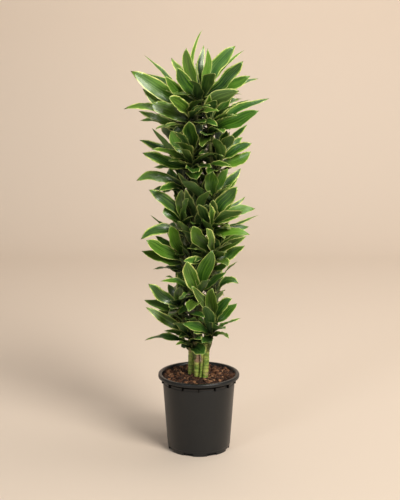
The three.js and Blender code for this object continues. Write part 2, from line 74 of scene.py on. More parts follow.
SOIL_Z = 249
SOIL_DEPTH = 60
BRANCH_RADIUS = 6.5
BRANCH_BEND = 35                            # a branch turns into its shoot's line over this length
CORE_HALF = 36                              # half the leafy length of a shoot's tip
CORE_TOP_RADIUS = 4
GAP = 0.4                                   # play between neighbouring solids
END_OF_CORE = 0.9                           # leaves grow up to here from the core's middle
SLIDE_STEP = 9                              # by which a tip slides along the line of sight

EYE = np.array([4.0, -3555.0, 1357.0])      # where the plant is looked at from
FRONT = np.array([0.0, -1.0, 0.1])
GOLDEN_TURN = 2.39996

# Canes: foot x, y, radius, head x, y, top z.
CANES = {
    "left": (-26, 15, 10.4, -28, 34, 1066),
    "middle": (-6, -14, 10.4, -15, -34, 872),
    "right": (21, -22, 10.6, 40, -10, 968),
    "thin": (5, -28, 4.4, 6, -38, 425),
}
# Leaves along the upper part of a cane: lowest z, highest z, spacing.
SHEATHS = {"left": (430, 1030, 27), "middle": (390, 850, 27), "right": (410, 940, 27)}

# Shoots: name, (right, toward the viewer, up) of the growing point, cane,
# leaves by rule, their length, then the leaves whose tips are known:
# (right, toward, up, width, turn, bow right, bow up), turn being how far the
# blade faces the viewer (below 0 its underside does) and bow how far its
# middle is pulled aside.
SHOOTS = [
    ("crown", (3, -5, 1142), "left", 9, 200, [
        (10, 0, 1375, 18, 0.2, -31, 0), (-38, 30, 1320, 36, 0.85, -24, 0),
        (15, -20, 1330, 26, 0.3, -7, 0), (30, 25, 1320, 26, 0.75), (50, -70, 1285, 24, 0.4),
        (115, 20, 1325, 38, 0.75, -4, 3), (145, -60, 1315, 23, 0.08, -5, 4),
        (140, 60, 1280, 36, 0.65, 2, -6), (-10, -60, 1275, 26, 0.5),
        (-92, -50, 1286, 28, 0.7, -16, 0), (-70, 85, 1260, 41, 0.85, -12, -10),
        (-175, -30, 1298, 32, 0.15, -5, -22), (-165, -70, 1240, 32, 0.5),
        (-216, 60, 1245, 53, 0.8, -5, -26), (-105, 100, 1235, 33, 0.75, -16, -14),
        (-175, 40, 1190, 38, 0.5, 0, -24), (162, 10, 1235, 38, 0.6), (190, -50, 1225, 28, 0.4)]),
    ("upper_left", (-30, 35, 1090), "left", 7, 190, [
        (-240, 10, 1124, 32, 0.4, 0, 14), (-155, 90, 1145, 44, 0.75), (-95, 140, 1165, 40, 0.75),
        (-192, 20, 1117, 32, 0.4, 0, -13), (-190, -40, 1087, 28, 0.3, 0, 2)]),
    ("upper_right", (34, 35, 1060), "right", 9, 190, [
        (130, 90, 1185, 46, -0.75, -25, 15), (225, 20, 1160, 34, 0.4, 0, -3),
        (191, 60, 1125, 44, 0.6, 0, -9), (165, -30, 1160, 24, 0.3, 0, 11),
        (20, 150, 1045, 42, 0.3), (105, 20, 1165, 34, 0.5)]),
    ("breast", (-20, 50, 960), "middle", 9, 190, [
        (-30, 120, 1090, 45, 0.85), (-90, 90, 1060, 44, 0.8, -18, -8),
        (-149, 20, 1058, 36, -0.5, 0, -23), (-190, -20, 1026, 32, 0.4, 0, -2),
        (-181, 40, 989, 40, 0.5, 0, -17), (-145, 10, 945, 28, 0.25),
        (-20, 170, 925, 46, 0.25), (20, 60, 1065, 30, 0.5)]),
    ("mid_left", (-52, 5, 890), "left", 7, 180, [
        (-201, 30, 899, 34, 0.6, 0, 15), (-110, -10, 895, 26, 0.2, 0, 3),
        (-130, 20, 865, 32, 0.6, 0, 4)]),
    ("mid_right", (65, 20, 955), "right", 8, 180, [
        (90, 50, 1060, 33, 0.7), (155, -20, 1080, 28, 0.08), (140, 10, 1040, 30, 0.7),
        (170, 30, 1020, 34, 0.6), (167, 60, 994, 41, 0.55, 0, -23), (0, 110, 985, 32, 0.3, 0, 15)]),
    ("waist_right", (48, 45, 822), "right", 9, 180, [
        (45, 110, 930, 42, 0.85, -10, 0), (95, 50, 940, 30, 0.5), (135, 20, 940, 30, 0.6, 6, -4),
        (125, 40, 905, 30, 0.5), (-55, 90, 900, 38, -0.6, 0, -6)]),
    ("waist_left", (-48, 15, 748), "left", 9, 190, [
        (-161, 60, 870, 45, 0.75), (-55, 80, 870, 34, 0.75), (-30, 95, 835, 30, 0.6),
        (-157, -20, 788, 15, 0.15, 0, -21), (-190, 50, 709, 38, 0.5, 0, 15)]),
    ("belly_right", (35, 50, 735), "middle", 8, 190, [
        (125, 110, 880, 45, 0.85), (125, 20, 870, 34, 0.6), (184, 20, 809, 40, 0.5, 0, 8),
        (195, -10, 789, 20, 0.06, 0, -16), (145, 60, 800, 34, -0.5), (163, 20, 750, 35, 0.5),
        (167, 60, 724, 35, 0.5), (-1, 130, 825, 36, -0.7, -8, -5), (35, 120, 825, 30, 0.6)]),
    ("belly_front", (45, 45, 640), "right", 6, 180, [
        (-20, 140, 750, 43, 0.85, -14, -3), (25, 110, 745, 32, 0.6), (150, 20, 685, 37, 0.6, 0, -6),
        (95, 150, 620, 46, 0.3, 0, 6), (165, -40, 722, 34, 0.3, 0, 17), (-50, 130, 635, 34, 0.35)]),
    ("belly_left", (-50, 10, 625), "left", 8, 180, [
        (-140, 20, 720, 34, 0.4, -3, -6), (-171, 50, 705, 42, 0.75, -4, -8),
        (-186, 60, 669, 39, 0.55, 0, -17), (-150, 10, 608, 27, 0.12, 0, 3),
        (-95, 60, 750, 40, 0.6, -3, 0)]),
    ("lap", (4, 60, 520), "thin", 9, 180, [
        (-40, 130, 635, 45, 0.9, -17, -4), (45, 120, 670, 47, 0.88), (0, 70, 635, 32, 0.5),
        (90, 60, 600, 30, 0.3, 0, -6)]),
    ("hip_right", (64, 0, 548), "right", 7, 170, [
        (130, 20, 560, 30, 0.5, 0, 12), (85, 0, 540, 28, 0.4)]),
    ("knee_left", (-55, 20, 462), "left", 8, 175, [
        (-165, 50, 560, 38, 0.65, -4, -9), (-180, 20, 505, 24, 0.35, 0, -4),
        (-100, -20, 560, 28, 0.3), (-60, 20, 550, 34, 0.6), (-125, -30, 570, 26, 0.2),
        (-90, 140, 475, 43, 0.35)]),
    ("knee_right", (48, 40, 405), "right", 5, 170, [
        (110, 80, 510, 36, 0.65, -7, 5), (125, 40, 495, 32, 0.6, 3, -7),
        (140, 0, 440, 18, 0.1, 0, -6), (45, 90, 545, 38, 0.8, -12, 0), (30, 150, 470, 42, -0.85),
        (-55, 130, 425, 34, 0.45, 0, -7), (100, 40, 375, 28, 0.4, 0, 8),
        (60, 20, 373, 18, 0.2), (10, 140, 360, 32, 0.35)]),
    ("ankle", (-26, 30, 372), "middle", 6, 170, [
        (-175, 60, 480, 34, 0.45, 0, -11), (-180, 30, 370, 30, 0.35, 0, 6),
        (20, 130, 320, 45, 0.45), (-76, 20, 352, 28, 0.4, 0, -3)]),
]
# Shoots of the back, whose leaves all come by the rule.
BACK_SHOOTS = [
    (0, -70, 1090, "left", 12, 200), (-62, -45, 1010, "left", 12, 195),
    (52, -55, 955, "right", 12, 190), (-10, -82, 900, "left", 12, 190),
    (60, -42, 835, "right", 11, 185), (-58, -62, 815, "left", 11, 185),
    (2, -80, 740, "left", 12, 185), (-65, -40, 700, "left", 11, 180),
    (60, -45, 655, "right", 11, 180), (-10, -80, 600, "left", 12, 180),
    (55, -50, 520, "right", 11, 180), (-58, -55, 515, "left", 11, 175),
    (2, -78, 440, "left", 12, 175), (-64, -34, 400, "left", 9, 165),
]
SHOOTS += [(f"back_{i + 1}", place, cane, ruled, size, [])
           for i, (*place, cane, ruled, size) in enumerate(BACK_SHOOTS)]
# Leaves that are only in the looks: shoot, then as in SHOOTS.
LATER_LEAVES = [
    ("upper_right", 36, 80, 1176, 24, 0.8, -4, 0), ("mid_right", 30, 130, 921, 34, 0.45, 0, 5),
    ("breast", -7, 165, 903, 50, 0.85, 0, 8), ("breast", 10, 40, 1090, 34, 0.6, 0, 0),
    ("belly_right", 152, -20, 848, 22, 0.5, 0, -6), ("belly_right", 133, 60, 783, 24, 0.5, 0, 3),
    ("waist_left", -106, 40, 817, 44, 0.6, -12, -4), ("lap", -126, 40, 569, 26, 0.45, 0, 10),
    ("ankle", -59, 80, 345, 32, 0.5, 0, 8), ("ankle", -117, 40, 400, 20, 0.4, 0, 4),
    ("knee_left", -98, 120, 451, 34, 0.3, 0, 2), ("belly_front", 95, 90, 623, 30, 0.5, 0, -8),
    ("belly_front", 155, 60, 717, 28, 0.5, 0, 0), ("breast", -152, -35, 1002, 30, 0.4, 0, 4),
    ("mid_left", -150, -35, 868, 28, 0.4, 0, 3), ("belly_left", -95, -30, 617, 34, 0.5, 0, 0),
    ("knee_left", -146, -20, 462, 28, 0.4, 0, 3), ("knee_right", -25, 20, 552, 34, 0.6, 0, 0),
    ("ankle", -72, -10, 402, 30, 0.5, 0, 0), ("waist_left", -49, -20, 660, 34, 0.6, 0, 0),
    ("upper_right", -12, 90, 1062, 34, 0.7, 0, 0), ("crown", 128, -10, 1158, 30, 0.6, 0, 0),
]
FIRST_LATER = 100                           # what their places are counted from in TONES
# Small corrections of known leaves (mm), by shoot and place in its list:
# tip right and up, bow right and up, root right and up, and width.
TRIMS = {
    "crown": {
        0: (0, 4, -7, 0, 0, 0, -4), 5: (0, 3, -6, 0, 0, 0, 6), 6: (0, 0, 0, 0, 0, 0, -8),
        7: (0, 0, 6, -6, 0, 0, 6), 9: (6, 5, 2, 0, 0, 0, 0), 11: (5, 3, -3, 1, 0, 0, -6),
        13: (0, 2, 0, 4, 0, 0, 0), 15: (-3, 3, 0, -7, 0, 0, 12), 16: (0, 0, 0, -7, 0, 0, 6)},
    "upper_left": {
        0: (0, 4, 0, 4, 0, 0, 0), 1: (0, 0, 0, -7, 0, 0, 4), 3: (0, 6, 0, 2, 0, 0, 0),
        4: (3, 8, 0, 2, 0, 0, 0)},
    "upper_right": {1: (0, 3, 0, 3, 0, 0, 0), 2: (0, 0, 0, -6, 0, 0, 4)},
    "breast": {1: (0, 0, 8, 0, 0, 0, 0), 2: (0, 11, -3, -6, 0, 0, 0), 3: (0, 5, 0, 4, 0, 0, 0)},
    "waist_left": {0: (0, 0, 3, 3, 0, 0, -8), 2: (-4, 5, 0, 0, 0, 0, 6)},
    "hip_right": {0: (0, 0, 0, 6, 0, 0, 0)},
    "belly_front": {2: (0, 3, 0, -7, 0, 0, 0)},
    "lap": {0: (0, 0, 9, 0, 0, -34, 0), 1: (0, 0, 0, 0, -6, -26, 0)},
    "knee_left": {1: (0, 0, 0, -5, 0, 0, 8), 4: (34, -22, 0, 0, 0, 0, 0)},
    "knee_right": {2: (0, 4, 0, 6, 0, 0, 0), 4: (-10, 16, 0, 0, -12, -40, -4)},
}
# Pale (near 1) and dark (near 0) ones among the known and the later leaves.
TONES = {
    "crown": {0: 0.9, 1: 0.45, 2: 0.1, 3: 0.97, 4: 0.3, 5: 0.8, 7: 0.12, 9: 0.95, 10: 0.2,
              13: 0.68, 14: 0.75, 15: 0.08, 121: 0.3},
    "upper_left": {1: 0.3},
    "upper_right": {2: 0.7, 120: 0.12},
    "breast": {0: 0.1, 1: 0.86, 4: 0.12, 6: 0.05, 102: 0.1},
    "mid_left": {0: 0.6},
    "mid_right": {0: 0.1, 2: 0.8, 3: 0.5},
    "waist_left": {0: 0.2, 1: 0.3},
    "belly_right": {0: 0.5},
    "belly_front": {0: 0.6},
    "belly_left": {1: 0.75, 2: 0.3},
    "lap": {0: 0.82, 1: 0.7},
    "knee_left": {0: 0.12, 5: 0.05},
    "knee_right": {0: 0.5, 1: 0.7, 117: 0.08},
}
# How far the mass of leaves reaches to the left and to the right: z, left, right.
REACH = (
    (345, -70, 60), (440, -100, 85), (520, -85, 80), (570, -72, 62), (620, -80, 72),
    (670, -80, 60), (710, -100, 110), (790, -105, 120), (840, -76, 110), (900, -90, 110),
    (970, -125, 125), (1045, -112, 110), (1100, -150, 150), (1180, -165, 165), (1325, -150, 150),
)

STATIONS = (0, 0.36, 0.72, 1)               # where along a leaf its room is measured
SHORT_STATIONS = (0, 0.56, 1)


# ------------------------------------------------------ the rule: where things grow
def unit(v):
    return v / math.sqrt(float(v @ v))


def draws(seed):
    """Repeatable draw between 0 and 1."""
    span = 4294967296
    state = (seed * 2654435761) % span

    def draw():
        nonlocal state
        state = (state * 1664525 + 1013904223) % span
        return state / span

    return draw


def cane_at(name, z):
    foot_x, foot_y, _, head_x, head_y, top = CANES[name]
    t = (z - SOIL_Z) / (top - SOIL_Z)
    bow = 10 * math.sin(math.pi * t)
    return np.array([foot_x + (head_x - foot_x) * t + bow * 0.5,
                     foot_y + (head_y - foot_y) * t + bow * 0.3, z])


def cane_axis(name, z):
    return unit(cane_at(name, z + 20) - cane_at(name, z))


def from_view(right, toward, up):
    """A point of the picture plane, slid along the line of sight."""
    p = np.array([right, 0.0, up])
    return EYE + (p - EYE) * (1 - toward / -EYE[1])


def slide(step):
    """0, then nearer to the viewer and further away by turns, ever more."""
    return ((step + 1) // 2) * SLIDE_STEP * (1 if step % 2 else -1)


def bezier(a, b, c, s):
    return a * (1 - s) ** 2 + b * (2 * s * (1 - s)) + c * (s * s)


# -------------------------------------------------------------------- one leaf
WIDEST = 0.5                                # where along a leaf it is widest
ROOT_END = 0.03
ROOT_SHARE = 0.14
TIP_POWER = 2.6
FOLD_AT_ROOT = 0.5                          # more depth of its fold at the root, by its half-width
FOLD_AT_TIP = 0.12
LEAST_ARCH, MORE_ARCH = 0.08, 0.12          # by its length; it arches more the more it leans out
MOST_TWIST = 0.7                            # radians, from the most one way to the most the other


def outline(s):
    """Half-width of a leaf as a share of its widest, from root (0) to tip (1)."""
    if s < WIDEST:
        u = max(0.0, (s - ROOT_END) / (WIDEST - ROOT_END))
        return ROOT_SHARE + (1 - ROOT_SHARE) * u * u * (3 - 2 * u)
    return 1 - ((s - WIDEST) / (1 - WIDEST)) ** TIP_POWER


def section(leaf, s):
    """Left edge, middle and right edge of the blade at s."""
    a, b, c = leaf["root"], leaf["bend"], leaf["tip"]
    middle = bezier(a, b, c, s)
    t = unit((b - a) * (1 - s) + (c - b) * s)
    n = unit(leaf["hint"] - t * float(leaf["hint"] @ t))
    side = np.cross(t, n)
    w = leaf["twist"] * s
    across = side * math.cos(w) + n * math.sin(w)
    up = n * math.cos(w) - side * math.sin(w)
    half = leaf["width"] / 2 * outline(s)
    fold = FOLD_AT_ROOT * (1 - s) ** 2 + FOLD_AT_TIP
    edges = []
    for sign in (-1, 1):
        ripple = math.sin(leaf["ripples"] * s * 2 * math.pi + leaf["phase"] * sign)
        wave = leaf["wave"] * math.sin(math.pi * s) * ripple
        edges.append(middle + across * (sign * half) + up * (fold * half + wave))
    return edges[0], middle, edges[1]


def make_leaf(at, axis, height, tip, width, hint, draw, flat, stations):
    """A blade from a shoot's core, `height` (-1 to 1) up it, to its tip."""
    root = at + axis * (CORE_HALF * height)
    chord = tip - root
    length = math.sqrt(float(chord @ chord))
    c = chord / length
    lift = axis + np.array([0.0, -0.05, 0.0])
    m = unit(lift - c * float(lift @ c))
    arch = (LEAST_ARCH + MORE_ARCH * (1 - float(c @ axis))) * flat * length
    bend = root + chord * 0.5 + m * arch
    twist = (draw() - 0.5) * MOST_TWIST
    wave = 2 + 3 * draw()
    ripples = 1.2 + 1.3 * draw()
    return {"root": root, "bend": bend, "tip": tip, "width": width, "hint": hint, "twist": twist,
            "wave": wave, "ripples": ripples, "phase": draw() * 3, "stations": stations}


def bow_leaf(leaf, right, up):
    """Moves the middle of the blade by about this much."""
    leaf["bend"] = leaf["bend"] + np.array([2.0 * right, 0.0, 2.0 * up])


def leaf_to(shoot, number, place, width, turn, bow, draw, flat):
    """A leaf of a shoot whose tip is at a place seen from the front."""
    tip = from_view(*place)
    hint = shoot["axis"] * (1 - abs(turn)) + FRONT * turn
    rise = 2 * float(unit(tip - shoot["at"]) @ shoot["axis"]) - 1
    height = max(-END_OF_CORE, min(END_OF_CORE, rise))
    leaf = make_leaf(shoot["at"], shoot["axis"], height, tip, width, hint, draw, flat, STATIONS)
    bow_leaf(leaf, *bow)
    leaf["number"] = number
    return leaf


# --------------------------------------- room taken, on a grid of small cells
CELL = 4.0
STEP = 2.8                                  # between the points that stand for a blade
CELLS = (170, 170, 370)
LOW = np.array([-340.0, -340.0, 0.0])
SHARED = 255                                # label of a cell near to two owners, closed to all
OWN_SHARE = 0.32                            # a blade may cross its own shoot's up to here
MOST_TURN = 0.4                             # least cosine between two sections of a blade
taken = np.zeros(CELLS[0] * CELLS[1] * CELLS[2], np.uint8)
filled = np.zeros_like(taken)               # the same without the room kept round each blade
NEXT_CELLS = (-1, 0, 1)
AROUND = np.array([dx + CELLS[0] * (dy + CELLS[1] * dz)
                   for dx in NEXT_CELLS for dy in NEXT_CELLS for dz in NEXT_CELLS])


def cells(points):
    q = np.floor((points - LOW) / CELL).astype(np.int64)
    q = np.clip(q, 1, np.array(CELLS) - 2)
    return q[:, 0] + CELLS[0] * (q[:, 1] + CELLS[1] * q[:, 2])


def take(points, label):
    here = np.unique(cells(points))
    filled[here] = label
    near = np.unique((here[:, None] + AROUND[None, :]).ravel())
    now = taken[near]
    taken[near] = np.where((now == 0) | (now == label), label, SHARED)


def surface(leaf):
    """Points spread over the blade, and how far along it each one is."""
    stations = leaf["stations"]
    rows = [section(leaf, s) for s in stations]
    points, shares = [], []
    for (s0, a), (s1, b) in zip(zip(stations, rows), zip(stations[1:], rows[1:])):
        n_along = max(1, math.ceil(math.dist(a[1], b[1]) / STEP))
        f = ((np.arange(n_along) + 0.5) / n_along)[:, None, None]
        for edge in (0, 2):
            widest = max(math.dist(a[1], a[edge]), math.dist(b[1], b[edge]))
            n_across = max(1, math.ceil(widest / STEP))
            g = (np.arange(n_across + 1) / n_across)[None, :, None]
            middle = a[1] + (b[1] - a[1]) * f
            rim = a[edge] + (b[edge] - a[edge]) * f
            points.append((middle + (rim - middle) * g).reshape(-1, 3))
            shares.append(np.repeat(s0 + (s1 - s0) * f[:, 0, 0], n_across + 1))
    return np.concatenate(points), np.concatenate(shares)


def turned(leaf):
    """A blade turned too far between two of its sections would cross itself."""
    sections = (section(leaf, s) for s in leaf["stations"][:-1])
    across = [unit(right - left) for left, _, right in sections]
    return any(float(a @ b) < MOST_TURN for a, b in zip(across, across[1:]))


def fits(points, shares, label):
    outer = shares > 0.1
    found = taken[cells(points[outer])]
    if np.any((found != 0) & (found != label)):
        return False
    return not np.any((found == label) & (shares[outer] > OWN_SHARE))


def rod_surface(a, b, ra, rb):
    axis = unit(b - a)
    side = unit(np.cross(axis, np.array([0.3, 1.0, 0.2])))
    other = np.cross(axis, side)
    n = math.ceil(math.dist(a, b) / 6)
    sides = 8
    out = []
    for i in range(n + 1):
        r = ra + (rb - ra) * i / n
        for j in range(sides):
            w = j * 2 * math.pi / sides
            out.append(a + (b - a) * (i / n) + side * (r * math.cos(w)) + other * (r * math.sin(w)))
    return np.array(out)


def keep_if_clear(leaf, owner):
    if turned(leaf):
        return False
    points, shares = surface(leaf)
    if not fits(points, shares, owner["label"]):
        return False
    take(points, owner["label"])
    owner["leaves"].append(leaf)
    return True


# --------------------------------------------------------------- growing it
FIRST_CANE_LABEL = 201
UPRIGHT = np.array([0, 0, 0.35])            # how much a shoot turns up from its branch
LOW_SHOOT = 480                             # z under which a branch is short
KNOWN_TRIES, RULED_TRIES, CANE_TRIES, LATER_TRIES = 48, 40, 60, 24
SHOOT_FILLING_TRIES, CANE_FILLING_TRIES = 20, 24
MOST_DEPTH = 205                            # no tip of a leaf by rule lies further front or back
CLOSE_DEPTH = 190                           # nor one of a filling leaf
CLOSE_LOW, CLOSE_HIGH = 350, 1270           # between these heights filling leaves lie
FILLING_SPACING = 12                        # along a cane
FEW_FILLED = ("crown", "upper_left", "upper_right")
# First seed of each kind of leaf.
RULED_SEED, LATER_SEED, CANE_SEED, FILLING_SEED = 5000, 7000, 9000, 20000


def grow_stems():
    canes = {name: {"name": name, "label": FIRST_CANE_LABEL + i, "leaves": []}
             for i, name in enumerate(CANES)}
    shoots = []
    for i, (name, place, cane, ruled, size, seen) in enumerate(SHOOTS):
        at = from_view(*place)
        rise = 80 if name == "crown" else 68 if place[2] < LOW_SHOOT else 105
        foot = cane_at(cane, place[2] - rise)
        axis = unit(unit(at - foot) + UPRIGHT)
        base = at - axis * CORE_HALF
        shoots.append({"name": name, "label": i + 1, "at": at, "axis": axis, "foot": foot,
                       "base": base, "elbow": base - axis * BRANCH_BEND, "end": base - axis * GAP,
                       "cane": cane, "ruled": ruled, "size": size, "seen": seen, "leaves": []})
    piece = 40
    for name, (_, _, radius, _, _, top) in CANES.items():
        heights = range(SOIL_Z, top, piece)
        rods = [rod_surface(cane_at(name, z), cane_at(name, min(z + piece, top)), radius, radius)
                for z in heights]
        take(np.concatenate(rods), canes[name]["label"])
    for s in shoots:
        bends = [bezier(s["foot"], s["elbow"], s["end"], f) for f in (0, 1 / 3, 2 / 3, 1)]
        for a, b in zip(bends, bends[1:]):
            take(rod_surface(a, b, BRANCH_RADIUS, BRANCH_RADIUS), canes[s["cane"]]["label"])
        head = s["at"] + s["axis"] * CORE_HALF
        take(rod_surface(s["base"], head, BRANCH_RADIUS, CORE_TOP_RADIUS), s["label"])
    return canes, shoots


def out_and_tip(at, axis, turn, lean, length):
    """The way out from a stem, and the tip of a leaf that leans that way."""
    side = unit(np.cross(axis, np.array([0.2, 1.0, 0.1])))
    other = np.cross(axis, side)
    out = side * math.cos(turn) + other * math.sin(turn)
    return out, at + axis * (math.cos(lean) * length) + out * (math.sin(lean) * length)


def within_reach(tip, spare=0):
    x, _, z = tip
    for a, b in zip(REACH, REACH[1:]):
        if a[0] <= z < b[0]:
            f = (z - a[0]) / (b[0] - a[0])
            left, right = (a[side] + (b[side] - a[side]) * f for side in (1, 2))
            return left + spare < x < right - spare
    return False


def grow_known_leaves(shoots):
    """Leaves with known tips: a tip only slides along the line of sight."""
    for shoot in shoots:
        for i, (right, toward, up, width, turn, *bow) in enumerate(shoot["seen"]):
            for k in range(KNOWN_TRIES):
                draw = draws((shoot["label"] - 1) * 100 + i)
                leaf = leaf_to(shoot, i, (right, toward + slide(k // 2), up), width, turn,
                               bow or (0, 0), draw, 0.5 if k % 2 else 1)
                if keep_if_clear(leaf, shoot):
                    break


def grow_cane_leaves(canes):
    for name, (low, high, spacing) in SHEATHS.items():
        cane = canes[name]
        count = int((high - low) // spacing)
        for i in range(count):
            draw = draws(CANE_SEED + cane["label"] * 50 + i)
            z = low + (high - low) * i / count
            at, axis = cane_at(name, z), cane_axis(name, z)
            for k in range(CANE_TRIES):
                turn = i * GOLDEN_TURN + (draw() - 0.5) * (0.4 + 0.09 * k)
                lean = math.radians(24 + 30 * draw() + 0.2 * k)
                length = (165 - 25 * draw()) * (1 - 0.007 * k)
                out, tip = out_and_tip(at, axis, turn, lean, length)
                width = 30 + 9 * draw()
                leaf = make_leaf(at + out * 2, axis, 0, tip, width, axis, draw, 1, SHORT_STATIONS)
                if keep_if_clear(leaf, cane):
                    break


def grow_other_leaves(shoots):
    """A spiral from the oldest and lowest leaf to the youngest and most upright."""
    for shoot in shoots:
        at, axis, before = shoot["at"], shoot["axis"], shoot["label"] - 1
        for i in range(shoot["ruled"]):
            draw = draws(RULED_SEED + before * 100 + i)
            age = (i + 0.5) / shoot["ruled"]
            for k in range(RULED_TRIES):
                turn = i * GOLDEN_TURN + before * 1.3 + (draw() - 0.5) * (0.4 + 0.1 * k)
                lean = math.radians(84 - 68 * age + (draw() - 0.5) * (10 + 1.5 * k))
                length = shoot["size"] * (0.95 - 0.25 * abs(age - 0.4)) * (1 - 0.012 * k)
                _, tip = out_and_tip(at, axis, turn, lean, length)
                width = 34 + 9 * draw()
                height = 1.8 * age - END_OF_CORE
                leaf = make_leaf(at, axis, height, tip, width, axis, draw, 1, SHORT_STATIONS)
                near = within_reach(tip) and abs(tip[1]) <= MOST_DEPTH
                if near and keep_if_clear(leaf, shoot):
                    break


def grow_later_leaves(shoots):
    """Leaves seen between the others: each takes the clearest of some places."""
    named = {shoot["name"]: shoot for shoot in shoots}
    for i, (name, right, toward, up, width, turn, *bow) in enumerate(LATER_LEAVES):
        shoot = named[name]
        choices = []
        for k in range(LATER_TRIES):
            leaf = leaf_to(shoot, FIRST_LATER + i, (right, toward + slide(k), up), width, turn,
                           bow, draws(LATER_SEED + i), 0.7)
            points, shares = surface(leaf)
            here = cells(points[shares > 0.25])
            choices.append((np.count_nonzero(filled[here]), k, leaf, here))
        _, _, leaf, here = min(choices, key=lambda choice: choice[:2])
        filled[np.unique(here)] = shoot["label"]
        shoot["leaves"].append(leaf)


def lies_close(leaf, points, owner):
    """Within the mass of leaves, and not in front of leaves that are known."""
    root, tip = leaf["root"], leaf["tip"]
    in_front = tip[1] < root[1] - 60 and abs(tip[0] - root[0]) < 50
    return (abs(tip[1]) < CLOSE_DEPTH
            and points[:, 2].min() > CLOSE_LOW and points[:, 2].max() < CLOSE_HIGH
            and not (in_front and owner.get("seen"))
            and within_reach(tip, 10) and within_reach(bezier(root, leaf["bend"], tip, 0.6), 6))


def grow_close_leaves(owner, count, tries, place):
    """Young and old leaves close to a stem, slipped in between the others."""
    for i in range(count):
        draw = draws(FILLING_SEED + owner["label"] * 100 + i)
        for k in range(tries):
            at, axis, height, lean, turn, length, width = place(i, k, draw)
            _, tip = out_and_tip(at, axis, turn, lean, length)
            hint = axis * 0.9 + np.array([0.0, 0.0, 0.3])
            leaf = make_leaf(at, axis, height, tip, width, hint, draw, 1, STATIONS)
            points, shares = surface(leaf)
            outer = shares > 0.18
            here = cells(points[outer])
            own = (filled[here] == owner["label"]) & (shares[outer] < 0.45)
            if lies_close(leaf, points, owner) and np.all((filled[here] == 0) | own):
                filled[np.unique(here)] = owner["label"]
                owner["leaves"].append(leaf)
                break


def grow_filling_leaves(canes, shoots):
    for shoot in shoots:
        count = 6 if shoot["name"] in FEW_FILLED else 10 if shoot["seen"] else 14

        def on_shoot(i, k, draw):
            age = (i + 0.5) / count
            lean = math.radians(104 - 84 * age + (draw() - 0.5) * 36)
            length = shoot["size"] * (0.55 + 0.32 * draw()) * (1 - 0.022 * k)
            turn = i * GOLDEN_TURN + 0.9 + (draw() - 0.5) * 2.4
            height, width = 1.9 * age - 0.95, 27 + 14 * draw()
            return shoot["at"], shoot["axis"], height, lean, turn, length, width

        grow_close_leaves(shoot, count, SHOOT_FILLING_TRIES, on_shoot)
    for name, cane in canes.items():
        low, high = (365, 400) if name == "thin" else (345, CANES[name][5] - 10)
        count = int((high - low) / FILLING_SPACING)

        def on_cane(i, k, draw):
            z = low + (high - low) * i / count
            lean = math.radians(18 + 50 * draw())
            turn = i * GOLDEN_TURN + (draw() - 0.5) * 3
            length = (115 + 55 * draw()) * (1 - 0.02 * k)
            return cane_at(name, z), cane_axis(name, z), 0, lean, turn, length, 26 + 12 * draw()

        grow_close_leaves(cane, count, CANE_FILLING_TRIES, on_cane)


def trim_known_leaves(shoots):
    for shoot in shoots:
        trims = TRIMS.get(shoot["name"], {})
        for leaf in shoot["leaves"]:
            if leaf.get("number") in trims:
                right, up, bow_right, bow_up, root_right, root_up, wider = trims[leaf["number"]]
                leaf["tip"] = leaf["tip"] + np.array([right, 0.0, up])
                leaf["root"] = leaf["root"] + np.array([root_right, 0.0, root_up])
                # the middle of the blade goes along by half as much as its ends
                bow_leaf(leaf, bow_right + (right + root_right) / 4, bow_up + (up + root_up) / 4)
                leaf["width"] += wider


# ----------------------------------------------------------- building node trees
class Value:
    """A node's output that can be reckoned with: every operator adds a Math
    node, or a Vector Math node where the output is a vector."""

    def __init__(self, tree, socket):
        self.tree, self.socket = tree, socket

    def then(self, operation, *others):
        if self.socket.type == "VECTOR":
            return self.tree.vector(operation, self, *others)
        return self.tree.math(operation, self, *others)

    def __add__(self, other):
        return self.then("ADD", other)

    def __sub__(self, other):
        return self.then("SUBTRACT", other)

    def __rsub__(self, other):
        return self.tree.math("SUBTRACT", other, self)

    def __mul__(self, other):
        if self.socket.type == "VECTOR" and not isinstance(other, tuple):
            given = {0: self, "Scale": other}
            return self.tree.out("ShaderNodeVectorMath", given, operation="SCALE")
        return self.then("MULTIPLY", other)

    def __truediv__(self, other):
        return self.then("DIVIDE", other)

    def __pow__(self, other):
        return self.then("POWER", other)

    def __abs__(self):
        return self.then("ABSOLUTE")

    def spread(self, low, high, to_low=0.0, to_high=1.0):
        """Moved from one range to another, and kept inside it."""
        ranges = {0: self, 1: low, 2: high, 3: to_low, 4: to_high}
        return self.tree.out("ShaderNodeMapRange", ranges)


